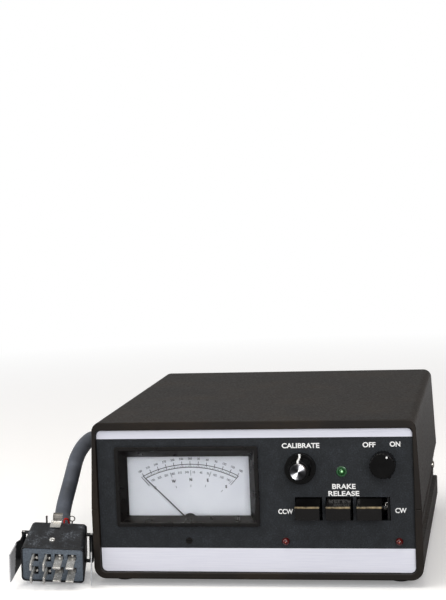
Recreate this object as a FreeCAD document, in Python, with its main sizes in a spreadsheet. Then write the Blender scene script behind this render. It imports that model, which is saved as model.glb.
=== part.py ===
import FreeCAD, Part
import math
import operator
import os
import Sketcher
from FreeCAD import Placement, Rotation, Vector

# Antenna rotator controller: a bench case with a panel meter, two knobs, three lever
# paddles and a rear lead that ends in an eight-blade plug.
# X runs to the right, Y from the front panel to the back, Z up. The origin is on the
# surface that the feet stand on, under the middle of the case. Millimetres.

SIZES = {
    # case
    "case_width": 216.0,
    "case_height": 104.0,
    "case_depth": 229.0,
    "wall": 2.5,
    "side_wall": 1.8,
    "cover_lean": 2.65,
    "channel_depth": 2.9,
    "top_round": 6.0,
    "bottom_round": 8.0,
    "inner_round": 2.5,
    "floor_round": 1.4,
    "ledge_round": 1.0,
    "channel_low": 21.0,
    "channel_high": 46.0,
    "channel_rib": 0.8,
    "channel_rib_width": 1.3,
    "channel_rib_gap": 8.0,
    "lip_depth": 3.0,
    "lintel": 5.5,
    "sill": 4.2,
    "slot_rib": 1.6,
    "slot_rib_height": 4.5,
    "slot_rib_length": 150.0,
    # fasteners of the case
    "screw_radius": 1.5,
    "screw_play": 0.2,
    "screw_head_radius": 2.9,
    "screw_head_height": 1.8,
    "head_play": 0.4,
    "boss_radius": 4.6,
    "boss_meet": 60.0,
    "boss_inset_x": 14.0,
    "boss_inset_y": 36.0,
    "case_screw_seat": 35.0,
    "case_screw_grip": 12.0,
    "tab_thick": 4.0,
    "tab_length": 16.0,
    "tab_drop": 20.0,
    "tab_root": 8.0,
    "side_screw_height": 33.6,
    "side_screw_inset": 22.0,
    # feet
    "foot_height": 5.0,
    "foot_radius": 7.5,
    "foot_taper": 1.0,
    "foot_inset_x": 16.0,
    "foot_inset_y": 22.0,
    "foot_seat": 2.5,
    "foot_boss_height": 4.0,
    "foot_boss_radius": 3.6,
    # panels and trim
    "panel_thickness": 2.0,
    "panel_play": 0.2,
    "panel_bite": 2.6,
    "panel_round": 5.0,
    "trim_thickness": 0.4,
    "trim_play": 0.3,
    "top_trim_share": 0.0538,
    "bottom_trim_share": 0.15,
    "trim_round": 3.5,
    # panel meter
    "meter_across": -0.40556,
    "meter_up": 0.58654,
    "bezel_width": 94.9,
    "bezel_height": 52.6,
    "bezel_proud": 2.0,
    "bezel_rim": 2.4,
    "bezel_round": 1.6,
    "window_width": 80.7,
    "window_height": 38.8,
    "window_drop": 0.9,
    "window_depth": 7.0,
    "bezel_collar_wall": 4.5,
    "bezel_body_wall": 2.85,
    "lens_thickness": 1.5,
    "housing_wall": 1.2,
    "housing_play": 0.2,
    "housing_drop": 4.8,
    "housing_depth": 29.0,
    "dial_depth": 11.5,
    "dial_thickness": 0.8,
    "pivot_drop": 25.5,
    "needle_length": 43.9,
    "needle_width": 0.85,
    "needle_tip_width": 0.4,
    "needle_thickness": 0.5,
    "needle_depth": 10.0,
    "needle_hub_radius": 2.2,
    "needle_tail": 6.0,
    "needle_rest_angle": 45.0,
    "meter_shaft_radius": 1.0,
    "dial_hole_radius": 1.6,
    "shaft_play": 0.05,
    "movement_width": 30.0,
    "movement_rise": 15.0,
    "movement_fall": 9.0,
    "pivot_cover_width": 9.8,
    "pivot_cover_rise": 6.3,
    "pivot_cover_thickness": 0.5,
    "stud_radius": 0.8,
    "stud_offset_x": 46.3,
    "stud_offset_z": 20.0,
    "ear_thick": 3.0,
    "ear_reach": 4.6,
    "ear_height": 7.0,
    "nut_thick": 1.6,
    "nut_width": 2.8,
    "zero_screw_up": 0.24038,
    "zero_screw_radius": 2.2,
    "zero_collar_radius": 3.2,
    # knobs, their potentiometer and switch
    "calibrate_across": 0.28981,
    "calibrate_up": 0.70192,
    "power_across": 0.78056,
    "power_up": 0.72692,
    "knob_gap": 1.0,
    "knob_skirt_radius": 10.0,
    "knob_skirt_height": 4.0,
    "knob_body_radius": 7.4,
    "knob_front_radius": 6.8,
    "knob_stand": 15.0,
    "knob_cap_radius": 5.4,
    "knob_cap_thickness": 1.2,
    "knob_cap_proud": 0.5,
    "flute_radius": 0.8,
    "power_knob_radius": 8.3,
    "power_knob_stand": 10.5,
    "power_knob_front_radius": 7.6,
    "power_nib": 1.8,
    "power_nib_turn": 30.0,
    "spindle_radius": 3.0,
    "spindle_bite": 8.0,
    "bush_radius": 3.6,
    "bush_stand": 3.4,
    "hollow_radius": 6.3,
    "hollow_depth": 3.4,
    "spindle_nut_thick": 2.0,
    "spindle_nut_width": 10.0,
    "pot_radius": 8.2,
    "pot_depth": 9.0,
    "power_switch_width": 19.0,
    "power_switch_depth": 16.0,
    # lever paddles
    "paddles_across": 0.51157,
    "paddles_up": 0.43269,
    "paddle_pitch": 19.8,
    "paddle_width": 15.8,
    "paddle_reach": 10.0,
    "paddle_top": 8.1,
    "paddle_ridge": 4.3,
    "paddle_foot": 4.8,
    "paddle_under": 4.0,
    "paddle_arm": 14.0,
    "paddle_arm_thick": 4.0,
    "paddle_round": 1.0,
    "pivot_behind": 7.0,
    "hub_radius": 4.0,
    "hub_width": 17.6,
    "axle_radius": 1.5,
    "slot_side_play": 0.9,
    "slot_top": 8.7,
    "slot_bottom": 6.7,
    "slot_end": 4.0,
    "frame_thick": 1.4,
    "frame_low": 12.0,
    "frame_high": 16.0,
    "frame_depth": 26.0,
    "frame_foot": 10.0,
    "snap_width": 6.4,
    "snap_height": 9.2,
    "snap_length": 18.0,
    "snap_button": 0.9,
    "snap_button_radius": 1.2,
    # indicator lamps
    "led_radius": 2.4,
    "led_stand": 0.8,
    "led_flange": 0.6,
    "led_length": 7.0,
    "led_holder_wall": 1.1,
    "led_holder_length": 4.0,
    "power_led_across": 0.53241,
    "power_led_up": 0.67692,
    "left_led_across": 0.18519,
    "right_led_across": 0.86111,
    "low_led_up": 0.23846,
    # transformer
    "core_inset": 52.0,
    "core_y": 40.0,
    "core_width": 62.0,
    "core_height": 52.0,
    "core_stack": 34.0,
    "core_leg": 10.4,
    "coil_swell": 9.0,
    "strap_thick": 1.5,
    "strap_width": 20.0,
    "strap_foot": 12.0,
    # circuit board
    "board_across": 0.148,
    "board_y": -34.0,
    "board_width": 84.0,
    "board_length": 62.0,
    "board_thick": 1.6,
    "standoff_height": 8.0,
    "standoff_radius": 3.0,
    "standoff_inset": 4.5,
    "relay_width": 11.2,
    "relay_pitch": 14.0,
    "small_can_height": 12.8,
    # motor capacitor
    "can_inset": 46.0,
    "can_y": 8.0,
    "can_radius": 17.5,
    "can_length": 72.0,
    "can_lift": 2.0,
    "clip_width": 14.0,
    "clip_thick": 1.2,
    "clip_foot": 12.0,
    # rear panel fittings
    "inlet_inset": 46.0,
    "inlet_z": 40.0,
    "inlet_flange_width": 50.0,
    "inlet_flange_height": 24.0,
    "inlet_flange_thick": 2.4,
    "inlet_body_width": 28.0,
    "inlet_body_height": 20.6,
    "inlet_body_depth": 20.0,
    "inlet_socket_width": 24.4,
    "inlet_socket_height": 16.6,
    "inlet_socket_depth": 16.4,
    "inlet_screw_pitch": 40.0,
    "inlet_pin_length": 9.0,
    "inlet_pin_width": 4.0,
    "inlet_pin_thick": 2.0,
    "inlet_pin_pitch": 7.0,
    "fuse_apart": 44.0,
    "fuse_z": 40.0,
    "fuse_body_radius": 6.4,
    "fuse_body_depth": 32.0,
    "fuse_collar_radius": 8.5,
    "fuse_collar_thick": 3.0,
    "fuse_cap_radius": 6.6,
    "fuse_cap_stand": 9.0,
    "fuse_radius": 2.6,
    "fuse_length": 20.0,
    # lead
    "gland_across": -0.25,
    "gland_z": 36.0,
    "gland_stand": 15.0,
    "gland_radius": 9.5,
    "gland_nose_radius": 7.1,
    "gland_thread_radius": 7.6,
    "gland_thread_depth": 9.0,
    "gland_hex_width": 20.0,
    "gland_hex_thick": 5.0,
    "gland_nut_thick": 4.0,
    "cable_radius": 5.5,
    # plug at the end of the lead
    "plug_beside": 27.6,
    "plug_ahead": 2.4,
    "plug_lift": 14.5,
    "plug_width": 42.0,
    "plug_height": 26.0,
    "plug_length": 33.0,
    "plug_tail_width": 37.6,
    "plug_wall": 1.0,
    "plug_round": 3.0,
    "insulator_recess": 0.8,
    "insulator_depth": 12.0,
    "blade_length": 12.0,
    "blade_root": 9.0,
    "blade_width": 5.2,
    "blade_thick": 1.4,
    "blade_pitch_x": 8.5,
    "blade_pitch_z": 9.8,
    "well_depth": 3.0,
    "well_beside": 2.4,
    "well_play": 0.35,
    "clamp_head_radius": 1.7,
    "top_screw_radius": 1.8,
    "barrel_radius": 1.5,
    "clamp_width": 9.5,
    "clamp_length": 9.0,
    "latch_thick": 0.8,
    "latch_height": 18.0,
    "latch_root": 24.0,
    "latch_length": 33.0,
    "latch_rise": 3.0,
    "latch_flare": 7.0,
    "latch_gap": 1.4,
}

CALIBRATE_FLUTES = 18
POWER_FLUTES = 24

doc = FreeCAD.newDocument("rotator_controller")
sheet = doc.addObject("Spreadsheet::Sheet", "sizes")
parts = {}


class Size:
    """A length with its number and the sheet formula that gives it."""

    def __init__(self, number, formula):
        self.number = float(number)
        self.formula = formula

    def __float__(self):
        return self.number

    def __neg__(self):
        return combine(0, "-", self, operator.sub)

    def __add__(self, other):
        return combine(self, "+", other, operator.add)

    def __radd__(self, other):
        return combine(other, "+", self, operator.add)

    def __sub__(self, other):
        return combine(self, "-", other, operator.sub)

    def __rsub__(self, other):
        return combine(other, "-", self, operator.sub)

    def __mul__(self, other):
        return combine(self, "*", other, operator.mul)

    def __rmul__(self, other):
        return combine(other, "*", self, operator.mul)

    def __truediv__(self, other):
        return combine(self, "/", other, operator.truediv)


def as_size(value):
    return value if isinstance(value, Size) else Size(value, f"({float(value)})")


def combine(left, sign, right, work):
    left, right = as_size(left), as_size(right)
    return Size(work(left.number, right.number), f"({left.formula} {sign} {right.formula})")


class Named:
    """The driving dimensions, each read by its name."""


def fill_sheet():
    named = Named()
    for row, (name, value) in enumerate(SIZES.items(), start=1):
        sheet.set(f"A{row}", name)
        sheet.set(f"B{row}", str(value))
        sheet.setAlias(f"B{row}", name)
        setattr(named, name, Size(value, f"sizes.{name}"))
    doc.recompute()
    return named


d = fill_sheet()


# Helpers for bound objects

def bind(thing, **sizes):
    for name, size in sizes.items():
        thing.setExpression(name, as_size(size).formula)
    return thing


def place(thing, x=0, y=0, z=0, turn=None):
    thing.Placement = Placement(Vector(float(x), float(y), float(z)), turn or Rotation())
    for axis, size in zip("xyz", (x, y, z)):
        thing.setExpression(f"Placement.Base.{axis}", as_size(size).formula)
    return thing


def keep(label, thing):
    """Makes an object one of the sub-parts, under the label that names its file."""
    thing.Label = label
    parts[label] = thing
    return thing


def box(low, high):
    made = doc.addObject("Part::Box", "Box")
    bind(made, Length=high[0] - low[0], Width=high[1] - low[1], Height=high[2] - low[2])
    return place(made, *low)


TURNS = {
    "x": Rotation(Vector(0, 1, 0), 90),
    "y": Rotation(Vector(1, 0, 0), -90),
    "z": Rotation(),
}


def along(axis, first, last, a, b):
    """Corner of a turned piece: its start along the axis, and its place across it."""
    length = last - first
    corner = {"x": (first, a, b), "y": (a, first, b), "z": (a, b, first)}[axis]
    return length, corner, TURNS[axis]


def rod(axis, radius, first, last, a, b):
    length, corner, turn = along(axis, first, last, a, b)
    made = doc.addObject("Part::Cylinder", "Cylinder")
    bind(made, Radius=radius, Height=length)
    return place(made, *corner, turn=turn)


def cone(axis, radius_first, radius_last, first, last, a, b):
    length, corner, turn = along(axis, first, last, a, b)
    made = doc.addObject("Part::Cone", "Cone")
    bind(made, Radius1=radius_first, Radius2=radius_last, Height=length)
    return place(made, *corner, turn=turn)


def hexagon(axis, width, first, last, a, b):
    length, corner, turn = along(axis, first, last, a, b)
    made = doc.addObject("Part::Prism", "Prism")
    made.Polygon = 6
    bind(made, Circumradius=width / math.sqrt(3), Height=length)
    return place(made, *corner, turn=turn)


def fuse(*shapes):
    made = doc.addObject("Part::MultiFuse", "Fusion")
    made.Shapes = list(shapes)
    made.Refine = True
    return made


def cut(base, *tools):
    made = doc.addObject("Part::Cut", "Cut")
    made.Base = base
    made.Tool = tools[0] if len(tools) == 1 else fuse(*tools)
    made.Refine = True
    return made


def group(*shapes):
    """Separate solids kept together in one node."""
    made = doc.addObject("Part::Compound", "Group")
    made.Links = list(shapes)
    return made


# Helpers for sketched bodies

SIDES = {"XY_Plane": 1, "XZ_Plane": -1, "YZ_Plane": 1}
ACROSS = {"x": ("YMin", "YMax", "ZMin", "ZMax"), "y": ("XMin", "XMax", "ZMin", "ZMax"),
          "z": ("XMin", "XMax", "YMin", "YMax")}


def new_body():
    return doc.addObject("PartDesign::Body", "Body")


def origin_feature(body, role):
    return next(item for item in body.Origin.OriginFeatures if item.Role == role)


def draw_outline(sketch, corners):
    """A closed outline whose every corner is tied to the sheet."""
    points = [Vector(float(a), float(b), 0) for a, b in corners]
    first = len(sketch.Geometry)
    for start, end in zip(points, points[1:] + points[:1]):
        sketch.addGeometry(Part.LineSegment(start, end))
    for index, (a, b) in enumerate(corners):
        line = first + index
        following = first + (index + 1) % len(corners)
        sketch.addConstraint(Sketcher.Constraint("Coincident", line, 2, following, 1))
        for kind, size in (("DistanceX", a), ("DistanceY", b)):
            number = sketch.addConstraint(Sketcher.Constraint(kind, line, 1, float(size)))
            sketch.setExpression(f"Constraints[{number}]", as_size(size).formula)


def draw_circle(sketch, a, b, radius):
    centre = Vector(float(a), float(b), 0)
    circle = sketch.addGeometry(Part.Circle(centre, Vector(0, 0, 1), float(radius)))
    sizes = (("DistanceX", a), ("DistanceY", b))
    for kind, size in sizes:
        number = sketch.addConstraint(Sketcher.Constraint(kind, circle, 3, float(size)))
        sketch.setExpression(f"Constraints[{number}]", as_size(size).formula)
    number = sketch.addConstraint(Sketcher.Constraint("Radius", circle, float(radius)))
    sketch.setExpression(f"Constraints[{number}]", as_size(radius).formula)


def rectangle(a0, b0, a1, b1):
    return [(a0, b0), (a1, b0), (a1, b1), (a0, b1)]


def draw(body, role, level, *outlines):
    """A sketch parallel to one of the body's own planes; three values make a circle."""
    sketch = body.newObject("Sketcher::SketchObject", "Sketch")
    sketch.AttachmentSupport = (origin_feature(body, role), [""])
    sketch.MapMode = "FlatFace"
    offset = level * SIDES[role]
    sketch.AttachmentOffset = Placement(Vector(0, 0, float(offset)), Rotation())
    sketch.setExpression("AttachmentOffset.Base.z", as_size(offset).formula)
    for outline in outlines:
        if len(outline) == 3:
            draw_circle(sketch, *outline)
        else:
            draw_outline(sketch, outline)
    return sketch


def pad(body, role, level, length, *outlines):
    """Adds material from the level towards the positive axis."""
    sketch = draw(body, role, level, *outlines)
    made = body.newObject("PartDesign::Pad", "Pad")
    made.Profile = sketch
    made.Reversed = SIDES[role] < 0
    bind(made, Length=length)
    doc.recompute()
    return made


def pocket(body, role, level, length, *outlines):
    """Takes material away from the level towards the positive axis."""
    before = body.Shape.Volume
    sketch = draw(body, role, level, *outlines)
    made = body.newObject("PartDesign::Pocket", "Pocket")
    made.Profile = sketch
    made.Reversed = SIDES[role] > 0
    bind(made, Length=length)
    doc.recompute()
    if body.Shape.Volume > before - 1e-6:
        raise ValueError(f"{made.Label} of {body.Label} takes nothing away")
    return made


def edge_names(shape, axis, spots):
    """Names of the straight edges along an axis that cross it at the given spots."""
    names = []
    for index, edge in enumerate(shape.Edges, start=1):
        a0, a1, b0, b1 = (getattr(edge.BoundBox, side) for side in ACROSS[axis])
        if a1 - a0 > 1e-4 or b1 - b0 > 1e-4:
            continue
        if any(abs(a0 - float(a)) < 1e-3 and abs(b0 - float(b)) < 1e-3 for a, b in spots):
            names.append(f"Edge{index}")
    if not names:
        raise ValueError(f"no edge along {axis} at {[(float(a), float(b)) for a, b in spots]}")
    return names


def round_edges(body, radius, names):
    base = body.Tip
    made = body.newObject("PartDesign::Fillet", "Fillet")
    made.Base = (base, names)
    bind(made, Radius=radius)
    doc.recompute()
    return made


def soften(body, radius, axis, *spots):
    """Rounds the edges along an axis that cross it at the given spots."""
    return round_edges(body, radius, edge_names(body.Shape, axis, spots))


def soften_lengthwise(body, radius, *heights):
    """Rounds the edges at these heights that run more to the back than across."""
    names = []
    for index, edge in enumerate(body.Shape.Edges, start=1):
        room = edge.BoundBox
        level = room.ZLength < 1e-4 and any(abs(room.ZMin - float(z)) < 1e-3 for z in heights)
        if level and room.YLength > room.XLength:
            names.append(f"Edge{index}")
    return round_edges(body, radius, names)


def turned(outline):
    """A body turned about its own Z axis from an outline of (radius, height) corners."""
    body = new_body()
    sketch = draw(body, "XZ_Plane", 0, outline)
    made = body.newObject("PartDesign::Revolution", "Revolution")
    made.Profile = sketch
    made.ReferenceAxis = (origin_feature(body, "Z_Axis"), [""])
    made.Angle = 360
    doc.recompute()
    return body


# Places that several pieces share

reach_front = d.knob_stand - d.lip_depth
reach_back = d.gland_stand - d.lip_depth
front = (reach_front - reach_back) / 2 - d.case_depth / 2
rear = front + d.case_depth
face = front + d.lip_depth
panel_back = face + d.panel_thickness
rear_face = rear - d.lip_depth
rear_inside = rear_face - d.panel_thickness

bottom = d.foot_height
floor = bottom + d.wall
sill = bottom + d.sill
ledge = bottom + d.channel_low
parting = bottom + d.channel_high
roof_top = bottom + d.case_height
roof = roof_top - d.wall
lintel = roof_top - d.lintel

outer = d.case_width / 2
shoulder = outer - d.cover_lean
channel = outer - d.channel_depth
inner = channel - d.side_wall
boss_x = outer - d.boss_inset_x
boss_front = front + d.boss_inset_y
boss_back = rear - d.boss_inset_y
foot_x = outer - d.foot_inset_x
foot_front = front + d.foot_inset_y
foot_back = rear - d.foot_inset_y
side_screw_y = rear - d.side_screw_inset
side_screw_z = bottom + d.side_screw_height
tab_face = inner - d.panel_play

meter_x = outer * d.meter_across
meter_z = bottom + d.case_height * d.meter_up
pivot_height = meter_z - d.pivot_drop
zero_height = bottom + d.case_height * d.zero_screw_up
window_z = meter_z - d.window_drop
rim = face - d.bezel_proud
window_face = rim + d.window_depth
collar_half_width = d.window_width / 2 + d.bezel_collar_wall
collar_half_height = d.window_height / 2 + d.bezel_collar_wall
body_half_width = d.window_width / 2 + d.bezel_body_wall
body_half_height = d.window_height / 2 + d.bezel_body_wall
lens_back = window_face + d.lens_thickness
dial_face = rim + d.dial_depth
dial_back = dial_face + d.dial_thickness
needle_face = rim + d.needle_depth
housing_back = panel_back + d.housing_depth
housing_low = zero_height - d.housing_drop
housing_half = body_half_width + d.housing_play + d.housing_wall
housing_high = window_z + body_half_height + d.housing_play + d.housing_wall
calibrate_x = outer * d.calibrate_across
calibrate_z = bottom + d.case_height * d.calibrate_up
power_x = outer * d.power_across
power_z = bottom + d.case_height * d.power_up

paddles_x = outer * d.paddles_across
pivot_z = bottom + d.case_height * d.paddles_up
pivot_y = panel_back + d.pivot_behind
frame_back = panel_back + d.frame_depth
frame_low = pivot_z - d.frame_low
frame_high = pivot_z + d.frame_high

core_x = d.core_inset - outer
can_x = outer - d.can_inset
board_x = outer * d.board_across
inlet_x = outer - d.inlet_inset
fuse_x = inlet_x - d.fuse_apart
gland_x = outer * d.gland_across


def both_sides(x):
    return (-x, x)


def corners(x, *ys):
    """The places at both sides of the case and at each of the given depths."""
    return [(side, y) for side in both_sides(x) for y in ys]


def mirrored(outline):
    return [(-a, b) for a, b in outline]


def add_nut(width, bore, first, last, x, z):
    """A hexagon nut on a thread that runs from front to back."""
    nuts.append(cut(hexagon("y", width, first, last, x, z), rod("y", bore, first, last, x, z)))


nuts = []


# Case

def make_top_cover():
    body = new_body()
    section = [(-outer, parting), (-shoulder, roof_top), (shoulder, roof_top), (outer, parting),
               (inner, parting), (inner, roof), (-inner, roof), (-inner, parting)]
    pad(body, "XZ_Plane", front, d.case_depth, section)
    soften(body, d.top_round, "y", (-shoulder, roof_top), (shoulder, roof_top))
    soften(body, d.inner_round, "y", (-inner, roof), (inner, roof))
    for start in (front, rear_face):
        pad(body, "XZ_Plane", start, d.lip_depth, rectangle(-inner, lintel, inner, roof))
    soften(body, d.inner_round, "y", (-inner, lintel), (inner, lintel))
    half = d.slot_rib_length / 2
    for start in (panel_back + d.panel_play, rear_inside - d.panel_play - d.slot_rib):
        pad(body, "XZ_Plane", start, d.slot_rib,
            rectangle(-half, roof - d.slot_rib_height, half, roof + d.wall / 2))
    posts = [(x, y, d.boss_radius) for x, y in corners(boss_x, boss_front, boss_back)]
    pad(body, "XY_Plane", d.boss_meet, roof - d.boss_meet, *posts)
    pilots = [(x, y, d.screw_radius) for x, y in corners(boss_x, boss_front, boss_back)]
    pocket(body, "XY_Plane", d.boss_meet, d.case_screw_grip, *pilots)
    tab_inner = tab_face - d.tab_thick
    tab = [(inner, parting + d.tab_root), (inner, parting), (tab_face, parting),
           (tab_face, parting - d.tab_drop), (tab_inner, parting - d.tab_drop),
           (tab_inner, parting + d.tab_root)]
    pad(body, "XZ_Plane", side_screw_y - d.tab_length / 2, d.tab_length, tab, mirrored(tab))
    pocket(body, "YZ_Plane", -outer, d.case_width, (side_screw_y, side_screw_z, d.screw_radius))
    return keep("top_cover", body)


def channel_outline():
    """Right half of the lower shell's section, from the bottom up and down inside."""
    outline = [(outer, bottom), (outer, ledge), (channel, ledge)]
    for count in (1, 2):
        low = ledge + d.channel_rib_gap * count
        high = low + d.channel_rib_width
        crest = channel + d.channel_rib
        outline += [(channel, low), (crest, low), (crest, high), (channel, high)]
    return outline + [(channel, parting), (inner, parting), (inner, floor)]


def make_bottom_shell():
    body = new_body()
    right = channel_outline()
    pad(body, "XZ_Plane", front, d.case_depth, right + mirrored(right)[::-1])
    soften(body, d.bottom_round, "y", (-outer, bottom), (outer, bottom))
    soften(body, d.floor_round, "y", (-inner, floor), (inner, floor))
    soften(body, d.ledge_round, "y", (-outer, ledge), (outer, ledge))
    for start in (front, rear_face):
        pad(body, "XZ_Plane", start, d.lip_depth, rectangle(-inner, floor, inner, sill))
    soften(body, d.trim_round, "y", (-inner, sill), (inner, sill))
    stop = rectangle(channel, ledge - d.ledge_round, outer, parting)
    pad(body, "XZ_Plane", front, d.lip_depth, stop, mirrored(stop))
    half = d.slot_rib_length / 2
    for start in (panel_back + d.panel_play, rear_inside - d.panel_play - d.slot_rib):
        pad(body, "XZ_Plane", start, d.slot_rib,
            rectangle(-half, floor - d.wall / 2, half, floor + d.slot_rib_height))
    posts = corners(boss_x, boss_front, boss_back)
    pad(body, "XY_Plane", floor, d.boss_meet - floor, *[(x, y, d.boss_radius) for x, y in posts])
    way = d.screw_radius + d.screw_play
    pocket(body, "XY_Plane", bottom, d.boss_meet - bottom, *[(x, y, way) for x, y in posts])
    well = d.screw_head_radius + d.head_play
    pocket(body, "XY_Plane", bottom, d.case_screw_seat - bottom, *[(x, y, well) for x, y in posts])
    spots = corners(foot_x, foot_front, foot_back)
    pad(body, "XY_Plane", floor, d.foot_boss_height, *[(x, y, d.foot_boss_radius) for x, y in spots])
    pocket(body, "XY_Plane", bottom, d.wall + d.foot_boss_height,
           *[(x, y, d.screw_radius) for x, y in spots])
    pocket(body, "YZ_Plane", -outer, d.case_width, (side_screw_y, side_screw_z, way))
    return keep("bottom_shell", body)


def screw_z(x, y, seat, tip, head_below=True):
    """A pan-head screw that stands upright, its head under or over its seat."""
    height = d.screw_head_height
    low, high = (seat - height, seat) if head_below else (seat, seat + height)
    head = rod("z", d.screw_head_radius, low, high, x, y)
    shank = rod("z", d.screw_radius, seat, tip, x, y) if head_below else \
        rod("z", d.screw_radius, tip, seat, x, y)
    return fuse(head, shank)


def make_case_screws():
    tip = d.boss_meet + d.case_screw_grip
    made = [screw_z(x, y, d.case_screw_seat, tip) for x, y in corners(boss_x, boss_front, boss_back)]
    tip = tab_face - d.tab_thick
    head = channel + d.screw_head_height
    right = fuse(rod("x", d.screw_radius, tip, channel, side_screw_y, side_screw_z),
                 rod("x", d.screw_head_radius, channel, head, side_screw_y, side_screw_z))
    left = fuse(rod("x", d.screw_radius, -channel, -tip, side_screw_y, side_screw_z),
                rod("x", d.screw_head_radius, -head, -channel, side_screw_y, side_screw_z))
    keep("case_screws", group(right, left, *made))


def make_feet():
    feet, screws = [], []
    for x, y in corners(foot_x, foot_front, foot_back):
        foot = cone("z", d.foot_radius - d.foot_taper, d.foot_radius, 0, bottom, x, y)
        well = rod("z", d.screw_head_radius + d.head_play, 0, d.foot_seat, x, y)
        hole = rod("z", d.screw_radius, 0, bottom, x, y)
        feet.append(cut(foot, well, hole))
        screws.append(screw_z(x, y, d.foot_seat, floor + d.foot_boss_height))
    keep("rubber_feet", group(*feet))
    keep("foot_screws", group(*screws))


# Panels and trim

def panel_outline():
    half = inner - d.panel_play
    return rectangle(-half, floor + d.panel_play, half, roof - d.panel_play)


def panel_corners():
    half = inner - d.panel_play
    return [(x, z) for x in (-half, half) for z in (floor + d.panel_play, roof - d.panel_play)]


def paddle_centres():
    return [paddles_x + d.paddle_pitch * count for count in (-1, 0, 1)]


def make_front_panel():
    body = new_body()
    pad(body, "XZ_Plane", face, d.panel_thickness, panel_outline())
    soften(body, d.panel_round, "y", *panel_corners())
    half = collar_half_width + d.panel_play
    tall = collar_half_height + d.panel_play
    holes = [rectangle(meter_x - half, window_z - tall, meter_x + half, window_z + tall)]
    for side in (-1, 1):
        for level in (-1, 1):
            holes.append((meter_x + d.stud_offset_x * side, meter_z + d.stud_offset_z * level,
                          d.stud_radius))
    holes.append((meter_x, zero_height, d.zero_screw_radius + d.shaft_play))
    for x, z in ((calibrate_x, calibrate_z), (power_x, power_z)):
        holes.append((x, z, d.bush_radius))
    for x, z in led_places():
        holes.append((x, z, d.led_radius))
    for count, x in enumerate(paddle_centres()):
        side = d.paddle_width / 2 + d.slot_side_play
        end = x + side + (d.slot_end if count == 2 else 0)
        holes.append(rectangle(x - side, pivot_z - d.slot_bottom, end, pivot_z + d.slot_top))
    pocket(body, "XZ_Plane", face, d.panel_thickness, *holes)
    return keep("front_panel", body)


def make_trim(label, low, high, *rounded):
    body = new_body()
    half = inner - d.trim_play
    pad(body, "XZ_Plane", face - d.trim_thickness, d.trim_thickness,
        rectangle(-half, low, half, high))
    soften(body, d.trim_round, "y", *[(x, z) for x in (-half, half) for z in rounded])
    keep(label, body)


def make_trims():
    high = lintel - d.trim_play
    make_trim("top_trim", high - d.case_height * d.top_trim_share, high, high)
    low = sill + d.trim_play
    make_trim("bottom_trim", low, low + d.case_height * d.bottom_trim_share, low)


def make_rear_panel():
    body = new_body()
    pad(body, "XZ_Plane", rear_inside, d.panel_thickness, panel_outline())
    soften(body, d.panel_round, "y", *panel_corners())
    wide = d.inlet_body_width / 2
    tall = d.inlet_body_height / 2
    holes = [rectangle(inlet_x - wide, d.inlet_z - tall, inlet_x + wide, d.inlet_z + tall),
             (fuse_x, d.fuse_z, d.fuse_body_radius), (gland_x, d.gland_z, d.gland_thread_radius)]
    for side in (-1, 1):
        holes.append((inlet_x + d.inlet_screw_pitch / 2 * side, d.inlet_z, d.screw_radius))
    pocket(body, "XZ_Plane", rear_inside, d.panel_thickness, *holes)
    return keep("rear_panel", body)


# Panel meter

def make_bezel():
    wide, tall = d.bezel_width / 2, d.bezel_height / 2
    body = new_body()
    x, z = meter_x, meter_z
    pad(body, "XZ_Plane", rim, d.bezel_proud, rectangle(x - wide, z - tall, x + wide, z + tall))
    soften(body, d.bezel_round, "y", *[(x + a, z + b) for a in (-wide, wide) for b in (-tall, tall)])
    pad(body, "XZ_Plane", face, d.panel_thickness,
        rectangle(x - collar_half_width, window_z - collar_half_height,
                  x + collar_half_width, window_z + collar_half_height))
    pad(body, "XZ_Plane", panel_back, window_face - panel_back,
        rectangle(x - body_half_width, window_z - body_half_height,
                  x + body_half_width, window_z + body_half_height))
    studs = [(x + d.stud_offset_x * side, z + d.stud_offset_z * level, d.stud_radius)
             for side in (-1, 1) for level in (-1, 1)]
    pad(body, "XZ_Plane", face, d.panel_thickness + d.ear_thick + d.nut_thick + d.stud_radius, *studs)
    mouth_wide = wide - d.bezel_rim
    mouth_low = z - tall + d.bezel_rim
    mouth_high = z + tall - d.bezel_rim
    funnel = doc.addObject("Part::Wedge", "Wedge")
    bind(funnel, Ymin=0, Ymax=d.window_depth, Xmin=-mouth_wide, Xmax=mouth_wide,
         Zmin=mouth_low, Zmax=mouth_high, X2min=-d.window_width / 2, X2max=d.window_width / 2,
         Z2min=window_z - d.window_height / 2, Z2max=window_z + d.window_height / 2)
    place(funnel, x, rim, 0)
    return keep("meter_bezel", cut(body, funnel))


def make_housing():
    x, half = meter_x, housing_half
    shell = box((x - half, panel_back, housing_low), (x + half, housing_back, housing_high))
    ears, holes = [], []
    ear = d.ear_height / 2
    nut_end = panel_back + d.ear_thick + d.nut_thick
    for level in (-1, 1):
        z = meter_z + d.stud_offset_z * level
        ears.append(box((x - half - d.ear_reach, panel_back, z - ear),
                        (x + half + d.ear_reach, panel_back + d.ear_thick, z + ear)))
        for side in (-1, 1):
            at = x + d.stud_offset_x * side
            holes.append(rod("y", d.stud_radius, panel_back, panel_back + d.ear_thick, at, z))
            add_nut(d.nut_width, d.stud_radius, panel_back + d.ear_thick, nut_end, at, z)
    inside = box((x - half + d.housing_wall, panel_back, housing_low + d.housing_wall),
                 (x + half - d.housing_wall, housing_back - d.housing_wall,
                  housing_high - d.housing_wall))
    keep("meter_housing", cut(fuse(shell, *ears), inside, *holes))


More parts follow.
